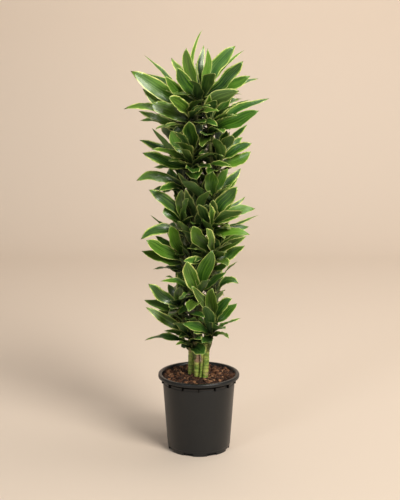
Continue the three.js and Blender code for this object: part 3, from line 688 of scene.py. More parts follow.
class Tree:
    """A node tree being written: nodes are added by kind, and what is given
    to an input is either a Value or a plain default."""

    def __init__(self, nodes, links):
        self.nodes, self.links = nodes, links

    def add(self, kind, inputs=None, **settings):
        node = self.nodes.new(kind)
        for key, value in settings.items():
            setattr(node, key, value)
        for key, value in (inputs or {}).items():
            named = (s for s in node.inputs if s.name == key and s.enabled)
            socket = node.inputs[key] if isinstance(key, int) else next(named)
            if isinstance(value, Value):
                self.link(value, socket)
            else:
                socket.default_value = value
        return node

    def link(self, value, socket):
        self.links.new(value.socket, socket)

    def out(self, kind, inputs=None, output=0, **settings):
        """One output of a new node, by its place or name."""
        return Value(self, self.add(kind, inputs, **settings).outputs[output])

    def math(self, operation, *values):
        return self.out("ShaderNodeMath", dict(enumerate(values)), operation=operation)

    def vector(self, operation, *values):
        output = 1 if operation in ("DOT_PRODUCT", "LENGTH", "DISTANCE") else 0
        given = dict(enumerate(values))
        return self.out("ShaderNodeVectorMath", given, output, operation=operation)

    def joined(self, *parts):
        return self.out("ShaderNodeCombineXYZ", dict(enumerate(parts)))

    def parts(self, vector):
        node = self.add("ShaderNodeSeparateXYZ", {0: vector})
        return [Value(self, socket) for socket in node.outputs]

    def noise(self, where, scale, detail=2.0, roughness=0.5, output=0):
        given = {"Vector": where, "Scale": scale, "Detail": detail, "Roughness": roughness}
        return self.out("ShaderNodeTexNoise", given, output)


class GeometryTree(Tree):
    """A Geometry Nodes group whose inputs are named and have plain defaults."""

    def __init__(self, name, **inputs):
        self.group = bpy.data.node_groups.new(name, "GeometryNodeTree")
        super().__init__(self.group.nodes, self.group.links)
        new_socket = self.group.interface.new_socket
        for way in ("OUTPUT", "INPUT"):
            new_socket("Geometry", in_out=way, socket_type="NodeSocketGeometry")
        kinds = {int: "NodeSocketInt", float: "NodeSocketFloat",
                 bpy.types.Material: "NodeSocketMaterial"}
        self.defaults = {}
        for key, value in inputs.items():
            title = key.replace("_", " ").capitalize()
            socket = new_socket(title, in_out="INPUT", socket_type=kinds[type(value)])
            self.defaults[socket.identifier] = value
        sockets = self.add("NodeGroupInput").outputs
        self.geometry, *given = (Value(self, socket) for socket in sockets)
        self.inputs = dict(zip(inputs, given))

    def position(self):
        return self.out("GeometryNodeInputPosition")

    def attribute(self, name, kind="FLOAT"):
        return self.out("GeometryNodeInputNamedAttribute", {"Name": name}, data_type=kind)

    def store(self, geometry, name, value, kind="FLOAT", domain="POINT"):
        given = {"Geometry": geometry, "Name": name, "Value": value}
        return self.out("GeometryNodeStoreNamedAttribute", given, data_type=kind, domain=domain)

    def copies(self, points, instance, **given):
        """The instance on every point, as a plain mesh."""
        given = {"Points": points, "Instance": instance} | given
        on_points = self.out("GeometryNodeInstanceOnPoints", given)
        return self.out("GeometryNodeRealizeInstances", {"Geometry": on_points})

    def moved(self, geometry, **given):
        return self.out("GeometryNodeSetPosition", {"Geometry": geometry} | given)

    def painted(self, geometry, material):
        given = {"Geometry": geometry, "Material": self.inputs[material]}
        return self.out("GeometryNodeSetMaterial", given)

    def smooth(self, geometry, on, edges=None):
        """Shades it smooth or, with `on` False, those edges of it sharp."""
        given = {"Geometry": geometry, "Shade Smooth": on}
        if edges:
            given["Selection"] = edges
        domain = "EDGE" if edges else "FACE"
        return self.out("GeometryNodeSetShadeSmooth", given, domain=domain)

    def finish(self, geometry):
        self.link(geometry, self.add("NodeGroupOutput").inputs[0])
        return self


def in_scene(name, data):
    piece = bpy.data.objects.new(name, data)
    bpy.context.scene.collection.objects.link(piece)
    return piece


def evaluated_mesh(piece):
    """The piece's mesh with its modifiers applied."""
    depsgraph = bpy.context.evaluated_depsgraph_get()
    return bpy.data.meshes.new_from_object(
        piece.evaluated_get(depsgraph), preserve_all_data_layers=True, depsgraph=depsgraph)


def grown(name, source, tree):
    """The tree's result on a source mesh, as a plain mesh object."""
    holder = in_scene(name, source)
    modifier = holder.modifiers.new(tree.group.name, "NODES")
    modifier.node_group = tree.group
    for identifier, value in tree.defaults.items():
        modifier[identifier] = value
    bpy.context.view_layer.update()
    mesh = evaluated_mesh(holder)
    bpy.data.objects.remove(holder)
    mesh.name = name
    return in_scene(name, mesh)


def plain_mesh(name, points, edges=(), faces=(), attributes=None):
    mesh = bpy.data.meshes.new(name)
    mesh.from_pydata([tuple(p) for p in points], edges, faces)
    for key, (kind, values) in (attributes or {}).items():
        layer = mesh.attributes.new(key, kind, "POINT")
        field = "vector" if kind == "FLOAT_VECTOR" else "value"
        layer.data.foreach_set(field, np.asarray(values, np.float32).ravel())
    return mesh


# ----------------------------------------------------------------- materials
class Finish(Tree):
    """A material of one Principled shader."""

    def __init__(self, name, roughness, specular=0.5, coat=0.0, coat_roughness=0.1):
        self.material = bpy.data.materials.new(name)
        self.material.use_nodes = True
        super().__init__(self.material.node_tree.nodes, self.material.node_tree.links)
        self.sockets = self.nodes["Principled BSDF"].inputs
        self.sockets["Roughness"].default_value = roughness
        self.sockets["Specular IOR Level"].default_value = specular
        self.sockets["Coat Weight"].default_value = coat
        self.sockets["Coat Roughness"].default_value = coat_roughness

    def where(self):
        return self.out("ShaderNodeTexCoord", output="Object")

    def attribute(self, name):
        return self.out("ShaderNodeAttribute", output="Fac", attribute_name=name)

    def blend(self, amount, a, b):
        given = {"Factor": amount, 6: a, 7: b}
        return self.out("ShaderNodeMix", given, 2, data_type="RGBA")

    def layered(self, colour, *layers):
        """Each layer is how much of it shows, and its colour."""
        for amount, over in layers:
            colour = self.blend(amount, colour, over)
        return colour

    def finish(self, colour, height, distance, strength=1.0, roughness=None):
        given = {"Height": height, "Distance": distance, "Strength": strength}
        self.link(colour, self.sockets["Base Color"])
        self.link(self.out("ShaderNodeBump", given), self.sockets["Normal"])
        if roughness:
            self.link(roughness, self.sockets["Roughness"])
        return self.material


BLUISH_LEAF = (0.016, 0.078, 0.024, 1)
OLIVE_LEAF = (0.105, 0.150, 0.020, 1)
PAINTED_SHADE_AT_LEAF_ROOT = (0.004, 0.012, 0.002, 1)
PAINTED_SHADE_IN_PLANT = (0.004, 0.011, 0.002, 1)
DRY_TIP = (0.06, 0.035, 0.014, 1)
LEAST_MARGIN, MOST_MARGIN = 0.0030, 0.0082  # metres


def leaf_material(name, deep, fresh, streak, margin, roughness, gloss):
    """deep, fresh, streak and margin are the colours of a leaf's old and young
    parts, of its pale streaks and of the yellow bands along its edges."""
    t = Finish(name, roughness, specular=0.45, coat=gloss, coat_roughness=0.14)
    across, along, _ = t.parts(t.out("ShaderNodeUVMap", uv_map="blade"))
    edge = t.attribute("edge_distance")
    tone = t.attribute("tone")
    # long streaks that run with the veins, some leaves paler than others
    streaks = t.noise(t.joined(across * 11.0, along * 0.8, tone * 37.0), 1.5, 4.0, 0.65)
    cloud = t.noise(t.joined(across * 1.5, along * 2.5, tone * 71.0), 2.0)
    age = cloud * 0.8 + tone * 0.85
    hue = (tone * 13.7).then("FRACT")
    body = t.layered(
        deep,
        (age.spread(0.35, 1.2), fresh),
        (tone.spread(0.72, 1.0, 0.0, 0.55), streak),
        (hue.spread(0.55, 1.0, 0.0, 0.6), BLUISH_LEAF),
        (hue.spread(0.35, 0.0, 0.0, 0.5), OLIVE_LEAF),
        (streaks.spread(0.47, 0.70, 0.0, 0.8), streak),
        (streaks.spread(0.46, 0.30, 0.0, 0.75), deep),
        # painted shade: each blade darker towards its root, where the leaves around it shade it
        (along.spread(0.42, 0.04, 0.0, 0.85), PAINTED_SHADE_AT_LEAF_ROOT))
    # yellow margins of uneven width, missing here and there
    ragged = t.joined(along * 9.0, tone * 53.0, across.then("GREATER_THAN", 0.5))
    breadth = (tone * 7.3).then("FRACT").spread(0.0, 1.0, LEAST_MARGIN, MOST_MARGIN)
    inside = edge - (t.noise(ragged, 1.0, 4.0, 0.6) * breadth - 0.0009)
    near_edge = abs(across * 2.0 - 1.0).spread(0.62, 0.74)
    rim = inside.spread(0.0004, -0.0003) * near_edge
    band = inside.spread(0.0042, 0.0) * streaks.spread(0.35, 0.6, 0.25, 0.9)
    yellow = t.blend(t.noise(ragged, 2.0).spread(0.35, 0.75), margin, streak)
    dry = (t.noise(ragged, 0.7) * 0.05 + along).spread(1.0, 1.03)
    # painted shade: darker close to the stems below the crown, where the inner leaves lie in
    # shadow, lighter further out
    where = t.where()
    from_axis = (where * (1.0, 1.0, 0.0)).then("LENGTH")
    below_crown = t.parts(where)[2].spread(1.20, 1.10)
    painted_inner_shade = from_axis.spread(0.030, 0.120, 0.88, 0.0) * below_crown
    colour = t.layered(body, (band, streak), (rim, yellow), (dry, DRY_TIP), (painted_inner_shade, PAINTED_SHADE_IN_PLANT))
    veins = t.noise(t.joined(across * 46.0, along * 1.6, tone), 1.0, detail=1.0)
    rough = streaks.spread(0.3, 0.7, roughness - 0.08, roughness + 0.12)
    return t.finish(colour, veins, 0.0006, 0.6, rough)


KNOT = (-0.0025, -0.026, 0.312)             # of brown cork, low on the middle canes (m)


def stem_material():
    t = Finish("ringed_green_stem", 0.55)
    ring = t.attribute("ring")
    bare = t.attribute("bare")
    where = t.where()
    patches = t.noise(where, 60.0, 4.0, 0.6)
    specks = t.noise(where, 420.0)
    green = t.blend(patches.spread(0.35, 0.68), (0.11, 0.22, 0.022, 1), (0.56, 0.60, 0.13, 1))
    cork = t.blend(specks, (0.17, 0.080, 0.042, 1), (0.52, 0.34, 0.22, 1))
    knot = (patches * 0.012 + where.then("DISTANCE", KNOT)).spread(0.026, 0.018)
    flaked = t.noise(where, 30.0, 5.0, 0.7).spread(0.52, 0.57)
    corky = flaked.then("MAXIMUM", knot) * bare
    colour = t.layered(green, (corky, cork), (ring * 0.85, (0.10, 0.075, 0.03, 1)))
    colour = t.blend(bare, (0.016, 0.026, 0.008, 1), colour)
    return t.finish(colour, specks + ring * -0.8, 0.0008, 0.7)


def pot_material(name, dark, worn, scuffed, smooth, specular):
    t = Finish(name, smooth, specular=specular)
    where = t.where()
    smudge = t.noise(where, 9.0, 5.0, 0.65)
    stretched = t.out("ShaderNodeMapping", {"Vector": where, "Scale": (1.0, 1.0, 0.12)})
    scuffs = t.noise(stretched, 60.0, 4.0, 0.7)
    colour = t.layered(dark, (smudge.spread(0.35, 0.75), worn),
                       (scuffs.spread(0.62, 0.8, 0.0, 0.25), scuffed))
    rough = (smudge + scuffs * 0.5).spread(0.5, 1.0, smooth, smooth + 0.14)
    return t.finish(colour, t.noise(where, 900.0), 0.0002, 0.35, rough)


def soil_material():
    t = Finish("dark_bark_compost", 0.95, specular=0.2)
    where = t.where()
    crumbs = t.noise(where, 260.0, 6.0, 0.7)
    colour = t.blend(crumbs, (0.012, 0.006, 0.004, 1), (0.09, 0.038, 0.02, 1))
    return t.finish(colour, crumbs + t.noise(where, 70.0, 3.0), 0.004)


def chip_material():
    t = Finish("reddish_bark_chips", 0.85, specular=0.3)
    along = t.out("ShaderNodeMapping", {"Vector": t.where(), "Scale": (1.0, 0.3, 1.0)})
    fibre = t.noise(along, 500.0, 4.0, 0.6)
    ramp = t.add("ShaderNodeValToRGB", {0: t.attribute("tone")})
    stops = ramp.color_ramp.elements
    stops[0].position, stops[0].color = 0.0, (0.008, 0.004, 0.0025, 1)
    stops[1].position, stops[1].color = 1.0, (0.44, 0.235, 0.115, 1)
    for position, colour in ((0.38, (0.030, 0.012, 0.006, 1)), (0.66, (0.105, 0.040, 0.017, 1)),
                             (0.87, (0.26, 0.115, 0.050, 1))):
        stops.new(position).color = colour
    chip = Value(t, ramp.outputs[0])
    colour = t.blend(fibre.spread(0.3, 0.7, 0.0, 0.6), chip, (0.02, 0.010, 0.007, 1))
    return t.finish(colour, fibre, 0.001, 0.8)


# ------------------------------------------------------------------- leaves
ROOT_BREADTH = 0.38                         # of a leaf, by its widest
HOOKED_FROM = 0.72                          # a leaf's tip hooks from here on
SHARPEST, BLUNTEST = 2.0, 3.4               # power that a leaf's tip tapers by
MOST_SWAY = 0.028                           # of the middle of a leaf, by its length
KNOWN_HOOK, OTHER_HOOK = 0.03, 0.12         # of its tip, by its length


def blade_tree(upper, underside):
    """Every point of the source is one leaf: a two-sided grid put on it is
    bent along the leaf's own curve, folded, waved and tapered."""
    t = GeometryTree("leaf_blades", columns=5, rows=15, blade_thickness=0.0009, edge_curl=0.0016,
                     width_change=0.07, upper_side=upper, underside=underside)
    size = {"Size X": 2.0, "Size Y": 1.0}
    count = {"Vertices X": t.inputs["columns"], "Vertices Y": t.inputs["rows"]}
    grid = t.out("GeometryNodeMeshGrid", size | count)
    u, v, _ = t.parts(t.position())
    grid = t.store(grid, "u", u)
    grid = t.store(grid, "s", v + 0.5)
    grid = t.store(grid, "blade", t.joined(u * 0.5 + 0.5, v + 0.5), "FLOAT2", "CORNER")
    both = t.add("GeometryNodeJoinGeometry")
    flipped = t.out("GeometryNodeFlipFaces", {"Mesh": grid})
    for side, face_up, finish in ((grid, 1.0, "upper_side"), (flipped, -1.0, "underside")):
        t.link(t.painted(t.store(side, "face_up", face_up), finish), both.inputs[0])
    blades = t.copies(t.geometry, Value(t, both.outputs[0]))

    u, s, face_up, width, tone = (t.attribute(k) for k in ("u", "s", "face_up", "width", "tone"))
    root, bend, tip, hint = (
        t.attribute(k, "FLOAT_VECTOR") for k in ("root", "bend", "tip", "hint"))
    rest = 1.0 - s
    # the leaf's curve and its direction
    middle = root * (rest * rest) + bend * (s * rest * 2.0) + tip * (s * s)
    forward = ((bend - root) * rest + (tip - bend) * s).then("NORMALIZE")
    facing = (hint - forward * hint.then("DOT_PRODUCT", forward)).then("NORMALIZE")
    side = forward.then("CROSS_PRODUCT", facing)
    turn = t.attribute("twist") * s
    across = side * turn.then("COSINE") + facing * turn.then("SINE")
    up = facing * turn.then("COSINE") - side * turn.then("SINE")
    # outline: a narrow root, widest half way, an acute point
    rise = s / WIDEST
    lower = rise * rise * (rise * -2.0 + 3.0) * (1 - ROOT_BREADTH) + ROOT_BREADTH
    fall = ((s - WIDEST) / (1 - WIDEST)).then("MAXIMUM", 0.0)
    higher = 1.0 - fall ** t.attribute("blunt")
    is_lower = s.then("LESS_THAN", WIDEST)
    share = lower * is_lower + higher * (1.0 - is_lower)
    uneven = (s * 17.0 + (u * 1.4 + tone * 40.0)).then("SINE") * t.inputs["width_change"] + 1.0
    half = width * 0.5 * share * uneven
    # channel along the middle, and the waved edges
    out = abs(u)
    fold = rest * rest * FOLD_AT_ROOT + FOLD_AT_TIP
    swell = (s * math.pi).then("SINE")
    cycle = t.attribute("ripples") * s * (2 * math.pi) + t.attribute("phase") * u.then("SIGN")
    wave = t.attribute("wave") * swell * cycle.then("SINE")
    small = t.inputs["edge_curl"] * swell * (cycle * 3.3).then("SINE")
    lift = fold * half * out ** 1.25 + (wave + small) * out ** 2.0
    # the whole blade sways a little from side to side, and its tip hooks
    sway = t.attribute("sway") * swell * (s * 7.5 + t.attribute("sway_phase")).then("SINE")
    near_tip = ((s - HOOKED_FROM) / (1 - HOOKED_FROM)).then("MAXIMUM", 0.0)
    hook = near_tip * near_tip * t.attribute("hook")
    ends = (s * rest * 14.0).then("MINIMUM", 1.0)
    thick = t.inputs["blade_thickness"] * 0.5 * face_up * ((1.0 - out ** 4.0) * ends)
    sideways = half * u + sway + hook * 0.7
    upward = lift + thick - abs(hook)
    blades = t.moved(blades, Position=middle + across * sideways + up * upward)
    blades = t.store(blades, "edge_distance", half * (1.0 - out))
    blades = t.store(blades, "rim", out.then("GREATER_THAN", 0.999))
    merged = {"Geometry": blades, "Distance": 0.00002}
    blades = t.smooth(t.out("GeometryNodeMergeByDistance", merged), True)
    return t.finish(t.smooth(blades, False, t.attribute("rim").then("GREATER_THAN", 0.99)))


def leaf_source(name, leaves):
    """One point for each leaf, with everything its blade is bent by."""
    tones = TONES.get(name, {})
    tone, sway, sway_phase, hook = [], [], [], []
    for i, leaf in enumerate(leaves):
        draw = draws(31 + i * 13 + sum(map(ord, name)) * 101)
        length = math.dist(leaf["root"], leaf["tip"])
        tone.append(tones.get(leaf.get("number"), draw()))
        sway.append(length * MOST_SWAY * (0.3 + 0.7 * draw()) * MM)
        sway_phase.append(6.28 * draw())
        hooked = KNOWN_HOOK if "number" in leaf else OTHER_HOOK
        hook.append((draw() - 0.5) * hooked * length * MM)
    blunt = [min(BLUNTEST, max(SHARPEST, 2.2 + (leaf["width"] - 26) * 0.07)) for leaf in leaves]
    made = {"tone": tone, "sway": sway, "sway_phase": sway_phase, "hook": hook, "blunt": blunt}
    scales = {"width": MM, "wave": MM, "twist": 1.0, "ripples": 1.0, "phase": 1.0}
    vectors = {"root": MM, "bend": MM, "tip": MM, "hint": 1.0}
    attributes = {key: ("FLOAT", values) for key, values in made.items()}
    for key, scale in (scales | vectors).items():
        kind = "FLOAT_VECTOR" if key in vectors else "FLOAT"
        attributes[key] = (kind, [leaf[key] * scale for leaf in leaves])
    return plain_mesh(name, [leaf["root"] * MM for leaf in leaves], attributes=attributes)


# -------------------------------------------------------------------- stems
def stem_tree(material):
    """Chains of edges become round stems with ring scars where leaves were."""
    t = GeometryTree("ringed_stems", sides=14, step=0.0022, ring_spacing=0.011,
                     ring_height=0.0007, stem_finish=material)
    curve = t.out("GeometryNodeMeshToCurve", {"Mesh": t.geometry})
    resampled = {"Curve": curve, "Length": t.inputs["step"]}
    curve = t.out("GeometryNodeResampleCurve", resampled, mode="LENGTH")
    length = t.out("GeometryNodeSplineParameter", output="Length")
    where = t.position()
    phase = (length / t.inputs["ring_spacing"] + t.noise(where, 22.0) * 1.6).then("FRACT")
    ring = abs(phase - 0.5).spread(0.36, 0.5)
    curve = t.store(curve, "ring", ring)
    knots = t.noise(where, 60.0, 3.0).spread(0.45, 0.7, 0.0, 0.0012)
    radius = ring * t.inputs["ring_height"] + t.attribute("radius") + knots
    circle = t.out("GeometryNodeCurvePrimitiveCircle",
                   {"Resolution": t.inputs["sides"], "Radius": 1.0})
    swept = {"Curve": curve, "Profile Curve": circle, "Scale": radius, "Fill Caps": True}
    mesh = t.smooth(t.out("GeometryNodeCurveToMesh", swept), True)
    return t.finish(t.painted(mesh, "stem_finish"))


def stem_source(name, shoots):
    """The cane, then each of its side shoots up to its growing point: points,
    radii, and how bare of leaf bases the stem is (0-1)."""
    _, _, radius, _, _, top = CANES[name]
    zs = np.linspace(SOIL_Z - SOIL_DEPTH, top, 40)
    chains = [([cane_at(name, z) for z in zs], [radius - 0.5 - 1.0 * (z > 500) for z in zs],
               [min(1.0, max(0.12, (400 - z) / 70)) for z in zs])]
    slimmer = 0.9
    for shoot in shoots:
        fs = np.linspace(0.06, 1, 9)
        line = [bezier(shoot["foot"], shoot["elbow"], shoot["end"], f) for f in fs]
        radii = [BRANCH_RADIUS - slimmer + 2.5 * (1 - f) ** 3 for f in fs]
        for f in (0.25, 0.5, 0.75, 1.0):
            line.append(shoot["base"] + shoot["axis"] * (2 * CORE_HALF * f))
            radii.append(BRANCH_RADIUS + (CORE_TOP_RADIUS - BRANCH_RADIUS) * f - slimmer)
        chains.append((line, radii, [0.25] * len(line)))
    points, edges, radii, bare = [], [], [], []
    for line, line_radii, line_bare in chains:
        start = len(points)
        points += [p * MM for p in line]
        radii += [r * MM for r in line_radii]
        bare += line_bare
        edges += [(start + i, start + i + 1) for i in range(len(line) - 1)]
    attributes = {"radius": ("FLOAT", radii), "bare": ("FLOAT", bare)}
    return plain_mesh(name, points, edges, attributes=attributes)


# ---------------------------------------------------------------------- pot
def body_radius(z):
    share = (z - FOOT_STEP_Z) / (LIP_Z - FOOT_STEP_Z)
    return BODY_FOOT_RADIUS + (BODY_TOP_RADIUS - BODY_FOOT_RADIUS) * share


def inner_radius(z):
    return body_radius(z) - WALL - 0.8 * (1 - z / POT_HEIGHT)


def filleted(corners, steps=5):
    """A closed outline of (x, y, corner radius), its corners rounded."""
    out = []
    for i, (x, y, r) in enumerate(corners):
        p = np.array([x, y], float)
        if r <= 0:
            out.append(p)
            continue
        before = np.array(corners[i - 1][:2], float) - p
        after = np.array(corners[(i + 1) % len(corners)][:2], float) - p
        r = min(r, 0.45 * np.linalg.norm(before), 0.45 * np.linalg.norm(after))
        a, c = p + unit(before) * r, p + unit(after) * r
        out += [bezier(a, p, c, k / steps) for k in range(steps + 1)]
    return out


def on_circle(r, j, segments):
    turn = 2 * math.pi * j / segments
    return r * math.cos(turn), r * math.sin(turn)


def lathe(name, profile, segments=144):
    """A profile from axis to axis turned round Z, in millimetres."""
    ring = [(r, z) for r, z in profile if r > 1e-6]
    points = [(0, 0, profile[0][1] * MM), (0, 0, profile[-1][1] * MM)]
    points += [(*on_circle(r * MM, j, segments), z * MM) for r, z in ring for j in range(segments)]

    def at(i, j):
        return 2 + i * segments + j % segments

    last = len(ring) - 1
    faces = []
    for j in range(segments):
        faces += [(0, at(0, j + 1), at(0, j)), (1, at(last, j), at(last, j + 1))]
        faces += [(at(i, j), at(i, j + 1), at(i + 1, j + 1), at(i + 1, j)) for i in range(last)]
    mesh = plain_mesh(name, points, faces=faces)
    mesh.shade_smooth()
    return in_scene(name, mesh)


def slab(outline, near, far, placed):
    """Points and faces of a flat outline given thickness, from near to far."""
    n = len(outline)
    points = [placed(depth, a, b) for depth in (near, far) for a, b in outline]
    sides = [(k, (k + 1) % n, n + (k + 1) % n, n + k) for k in range(n)]
    return points, [tuple(range(n))[::-1], tuple(range(n, 2 * n))] + sides


def notch_cutter():
    """Blocks that the drain notches are cut by, all round the foot."""
    half = NOTCH_WIDTH / 2
    notch = filleted([(-half, -4, 0), (half, -4, 0), (half, NOTCH_HEIGHT, 2.5),
                      (-half, NOTCH_HEIGHT, 2.5)])
    points, faces = [], []
    for i in range(NOTCHES):
        turn = -math.pi / 2 + math.radians(NOTCH_TURN) + 2 * math.pi * i / NOTCHES

        def placed(r, y, z):
            return (MM * (r * math.cos(turn) - y * math.sin(turn)),
                    MM * (r * math.sin(turn) + y * math.cos(turn)), MM * z)

        start = len(points)
        block, block_faces = slab(notch, BODY_FOOT_RADIUS - 8, BODY_FOOT_RADIUS + 15, placed)
        points += block
        faces += [tuple(start + k for k in face) for face in block_faces]
    return in_scene("notch_cutter", plain_mesh("notch_cutter", points, faces=faces))


def pot_shell(material, painted_shade_material):
    step, inner_top = body_radius(FOOT_STEP_Z), inner_radius(INNER_TOP_Z)
    inner_foot = inner_radius(INNER_FOOT_Z)
    band, shade = LIP_Z - GUSSET_HEIGHT, LIP_Z - PAINTED_SHADE_BAND
    corners = [                             # radius, height, rounding
        (0, 0, 0), (BASE_RADIUS, 0, 2.5), (step - 1.2, FOOT_STEP_Z, 0.6),
        (body_radius(FOOT_STEP_Z + 1), FOOT_STEP_Z + 1, 0.6), (body_radius(band), band, 0.3),
        (body_radius(band) - BAND_DEPTH, band + 0.8, 0.3),
        (body_radius(shade) - BAND_DEPTH, shade, 0), (body_radius(LIP_Z) - 1.6, LIP_Z, 0.8),
        (LIP_RADIUS, LIP_Z, 2.4), (LIP_RADIUS, POT_HEIGHT, 5.0),
        (OPENING_RADIUS, POT_HEIGHT, 4.5), (inner_top + 0.6, INNER_TOP_Z + 6, 3),
        (inner_foot, INNER_FOOT_Z, 1.5), (inner_foot - 3, FLOOR, 1.5), (0, FLOOR, 0),
    ]
    shell = lathe("nursery_pot", filleted(corners))
    cutter = notch_cutter()
    cut = shell.modifiers.new("notches", "BOOLEAN")
    cut.operation, cut.object, cut.solver = "DIFFERENCE", cutter, "EXACT"
    bpy.context.view_layer.update()
    mesh = evaluated_mesh(shell)
    shell.modifiers.clear()
    shell.data = mesh
    bpy.data.objects.remove(cutter)
    mesh.materials.clear()
    mesh.materials.append(material)
    mesh.materials.append(painted_shade_material)
    # painted shade: outer faces just under the lip get the near-black plastic, which stands in for
    # the lip's shadow
    for face in mesh.polygons:
        middle = face.center / MM
        outside = math.hypot(middle.x, middle.y) > BODY_FOOT_RADIUS + 13
        face.material_index = int(outside and shade < middle.z < LIP_Z + 0.5)
    mesh.shade_smooth()
    mesh.set_sharp_from_angle(angle=math.radians(38))
    return shell


def web_tree(material):
    """Thin webs set round the pot under its lip."""
    t = GeometryTree("lip_webs", webs=GUSSETS, web_finish=material)
    circle = {"Vertices": t.inputs["webs"], "Radius": 1.0}
    points = t.out("GeometryNodeMeshCircle", circle)
    turn = t.out("GeometryNodeInputIndex") * (2 * math.pi / GUSSETS) + -math.pi / 2
    rotation = t.out("FunctionNodeEulerToRotation", {0: t.joined(0.0, 0.0, turn)})
    points = t.moved(points, Position=t.joined())
    webs = t.copies(points, t.geometry, Rotation=rotation)
    return t.finish(t.painted(webs, "web_finish"))


def web_source():
    inside, outside = BODY_TOP_RADIUS - 4, BODY_TOP_RADIUS + GUSSET_REACH
    low, high = LIP_Z - GUSSET_HEIGHT, LIP_Z + 1
    web = filleted([(inside, low, 0), (outside, low, 1), (outside, high, 0), (inside, high, 0)], 4)
    half = GUSSET_THICKNESS / 2
    points, faces = slab(web, -half, half, lambda y, r, z: (r * MM, y * MM, z * MM))
    return plain_mesh("lip_web", points, faces=[face[::-1] for face in faces])


# --------------------------------------------------------------------- soil
def soil_height(x, y):
    swell = 2 * math.sin(x / 13 + 1) * math.cos(y / 15) + math.sin(x / 6.1 + y / 7.3)
    return SOIL_Z + swell + 1.5 * (math.hypot(x, y) / 115) ** 2


def soil_bed(material):
    foot, shoulder = SOIL_Z - SOIL_DEPTH, inner_radius(INNER_TOP_Z)
    clear = 0.6
    profile = [(0, foot), (inner_radius(foot) - clear, foot), (shoulder - clear, INNER_TOP_Z),
               (shoulder + 2.6, SOIL_Z - 1)]
    profile += [(r, SOIL_Z) for r in np.linspace(114, 4, 42)] + [(0, SOIL_Z)]
    bed = lathe("bark_soil", profile, 120)
    for v in bed.data.vertices:
        if v.co.z > (SOIL_Z - 0.5) * MM:
            v.co.z = soil_height(v.co.x / MM, v.co.y / MM) * MM
    bed.data.materials.append(material)
    return bed


def chip_tree(material):
    """Bark chips scattered on the soil, no two alike."""
    t = GeometryTree("bark_chips", chips_per_square_metre=26000.0, seed=11, smallest=0.0028,
                     largest=0.0105, chip_finish=material)

    def random(seed, low, high):
        kind, output = ("FLOAT_VECTOR", 0) if isinstance(low, tuple) else ("FLOAT", 1)
        given = {"Min": low, "Max": high, "Seed": seed}
        return t.out("FunctionNodeRandomValue", given, output, data_type=kind)

    scattered = {"Mesh": t.geometry, "Density": t.inputs["chips_per_square_metre"],
                 "Seed": t.inputs["seed"]}
    points = t.out("GeometryNodeDistributePointsOnFaces", scattered)
    points = t.store(points, "tone", random(5, 0.0, 1.0))
    ball = t.out("GeometryNodeMeshIcoSphere", {"Radius": 1.0, "Subdivisions": 2})
    draw = random(21, 0.0, 1.0)
    size = (draw * draw * draw).spread(0.0, 1.0, t.inputs["smallest"], t.inputs["largest"])
    flatness = random(31, (0.8, 0.45, 0.25), (1.3, 1.0, 0.7))
    turn = random(41, (-1.0, -1.0, 0.0), (1.0, 1.0, 6.283))
    rotation = t.out("FunctionNodeEulerToRotation", {0: turn})
    chips = t.copies(points, ball, Rotation=rotation, Scale=flatness * size)
    rough = t.noise(t.position(), 260.0, output=1)
    push = t.vector("SUBTRACT", rough, (0.5, 0.5, 0.5)) * 0.005
    return t.finish(t.painted(t.moved(chips, Offset=push), "chip_finish"))


def chip_source():
    """The open top of the soil between the canes and the pot's wall."""
    points, faces = [], []
    rings, segments = np.linspace(2, inner_radius(SOIL_Z) - 2, 24), 64
    for r in rings:
        for j in range(segments):
            x, y = on_circle(r, j, segments)
            points.append((x * MM, y * MM, (soil_height(x, y) - 0.5) * MM))
    for i in range(len(rings) - 1):
        for j in range(segments):
            a, b = i * segments + j, i * segments + (j + 1) % segments
            x, y = points[a][0] / MM, points[a][1] / MM
            if all(math.hypot(x - c[0], y - c[1]) > c[2] + 4 for c in CANES.values()):
                faces.append((a, a + segments, b + segments, b))
    return plain_mesh("chip_ground", points, faces=faces)


# ------------------------------------------------------------- making the plant
canes, shoots = grow_stems()
grow_known_leaves(shoots)
grow_cane_leaves(canes)
grow_other_leaves(shoots)
grow_later_leaves(shoots)
grow_filling_leaves(canes, shoots)
trim_known_leaves(shoots)

glossy_leaf = leaf_material(
    "glossy_striped_leaf", deep=(0.008, 0.040, 0.004, 1), fresh=(0.050, 0.155, 0.010, 1),
    streak=(0.170, 0.340, 0.030, 1), margin=(0.88, 0.87, 0.30, 1), roughness=0.32, gloss=0.25)
matte_leaf = leaf_material(
    "matte_leaf_underside", deep=(0.018, 0.058, 0.010, 1), fresh=(0.062, 0.150, 0.022, 1),
    streak=(0.15, 0.27, 0.05, 1), margin=(0.70, 0.72, 0.24, 1), roughness=0.5, gloss=0.05)
charcoal_plastic = pot_material(
    "charcoal_nursery_plastic", dark=(0.0062, 0.0078, 0.0090, 1), worn=(0.0095, 0.0105, 0.0110, 1),
    scuffed=(0.028, 0.029, 0.030, 1), smooth=0.28, specular=0.42)
# painted shade: near-black matte plastic for the wall just under the lip and for the webs, which
# stands in for their shadows
painted_shade_plastic = pot_material(
    "nursery_plastic_painted_shade", dark=(0.0012, 0.0012, 0.0012, 1), worn=(0.0022, 0.0020, 0.0018, 1),
    scuffed=(0.006, 0.005, 0.005, 1), smooth=0.6, specular=0.10)


def add_piece(piece, node):
    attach(piece, "root")
    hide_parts(node)


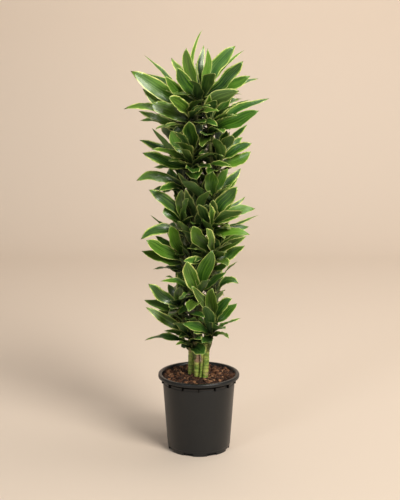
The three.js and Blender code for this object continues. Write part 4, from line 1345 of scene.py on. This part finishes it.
blades = blade_tree(glossy_leaf, matte_leaf)
for shoot in shoots:
    head = grown(shoot["name"] + "_blades", leaf_source(shoot["name"], shoot["leaves"]), blades)
    add_piece(head, "leaves_" + shoot["name"])
stems = stem_tree(stem_material())
for name, cane in canes.items():
    side_shoots = [shoot for shoot in shoots if shoot["cane"] == name]
    stem = grown(name + "_cane_and_shoots", stem_source(name, side_shoots), stems)
    add_piece(stem, "cane_" + name)
    if cane["leaves"]:
        leaves = grown(name + "_cane_blades", leaf_source(name, cane["leaves"]), blades)
        add_piece(leaves, "cane_" + name)
add_piece(pot_shell(charcoal_plastic, painted_shade_plastic), "pot")
# painted shade: the webs get the near-black plastic, darker than the pot, which stands in for their
# shadows
add_piece(grown("lip_webs", web_source(), web_tree(painted_shade_plastic)), "pot")
add_piece(soil_bed(soil_material()), "soil")
add_piece(grown("bark_chips", chip_source(), chip_tree(chip_material())), "soil")


# --------------------------------------------- floor, light and camera (metres)
def sweep_floor():
    """A plain pale floor that curves up far behind the plant."""
    width, front, bend_at, radius, height = 14.0, -7.0, 3.2, 1.5, 5.0
    line = [(front, 0.0), (bend_at, 0.0)]
    line += [(bend_at + radius * math.sin(a), radius * (1 - math.cos(a)))
             for a in np.linspace(0.05, math.pi / 2, 24)]
    line.append((bend_at + radius, height))
    points = [(x, y, z) for y, z in line for x in (-width / 2, width / 2)]
    faces = [(2 * i, 2 * i + 1, 2 * i + 3, 2 * i + 2) for i in range(len(line) - 1)]
    mesh = plain_mesh("pale_floor", points, faces=faces)
    mesh.shade_smooth()
    finish = Finish("pale_floor", 0.7, specular=0.2)
    finish.sockets["Base Color"].default_value = (0.69, 0.585, 0.488, 1)
    mesh.materials.append(finish.material)
    floor = in_scene("pale_floor", mesh)


def soft_light(name, place, aim, size, watts, colour):
    light = bpy.data.lights.new(name, "AREA")
    light.shape, light.size, light.energy, light.color = "DISK", size, watts, colour
    lamp = in_scene(name, light)
    lamp.location = place
    x, y, z = np.array(aim, float) - np.array(place, float)
    pitch = math.atan2(z, math.hypot(x, y))
    lamp.rotation_euler = (math.pi / 2 + pitch, 0, -math.atan2(x, y))


sweep_floor()
scene = bpy.context.scene
scene.view_settings.view_transform = "Standard"
WARM, COOL = (1.0, 0.96, 0.89), (0.90, 0.95, 1.0)
soft_light("key_light", (2.9, -3.9, 4.4), (-1.0, 0, 0.5), size=2.9, watts=420, colour=WARM)
soft_light("fill_light", (-2.4, -3.2, 2.4), (-0.4, 0, 0.5), size=1.2, watts=34, colour=COOL)
soft_light("back_light", (1.0, 0.6, 4.6), (1.6, 4.6, 2.0), size=3.0, watts=132,
           colour=(1.0, 0.95, 0.89))
scene.world = bpy.data.worlds.new("soft_surround")
scene.world.use_nodes = True
surround = scene.world.node_tree.nodes["Background"].inputs
surround["Color"].default_value = (0.93, 0.90, 0.86, 1)
surround["Strength"].default_value = 0.22

LOOKS_DOWN = 10.9                           # degrees
camera = in_scene("camera", bpy.data.cameras.new("camera"))
camera.location = EYE * MM
camera.rotation_euler = (math.radians(90 - LOOKS_DOWN), 0, 0)
camera.data.lens = 80
camera.data.clip_end = 100
scene.camera = camera
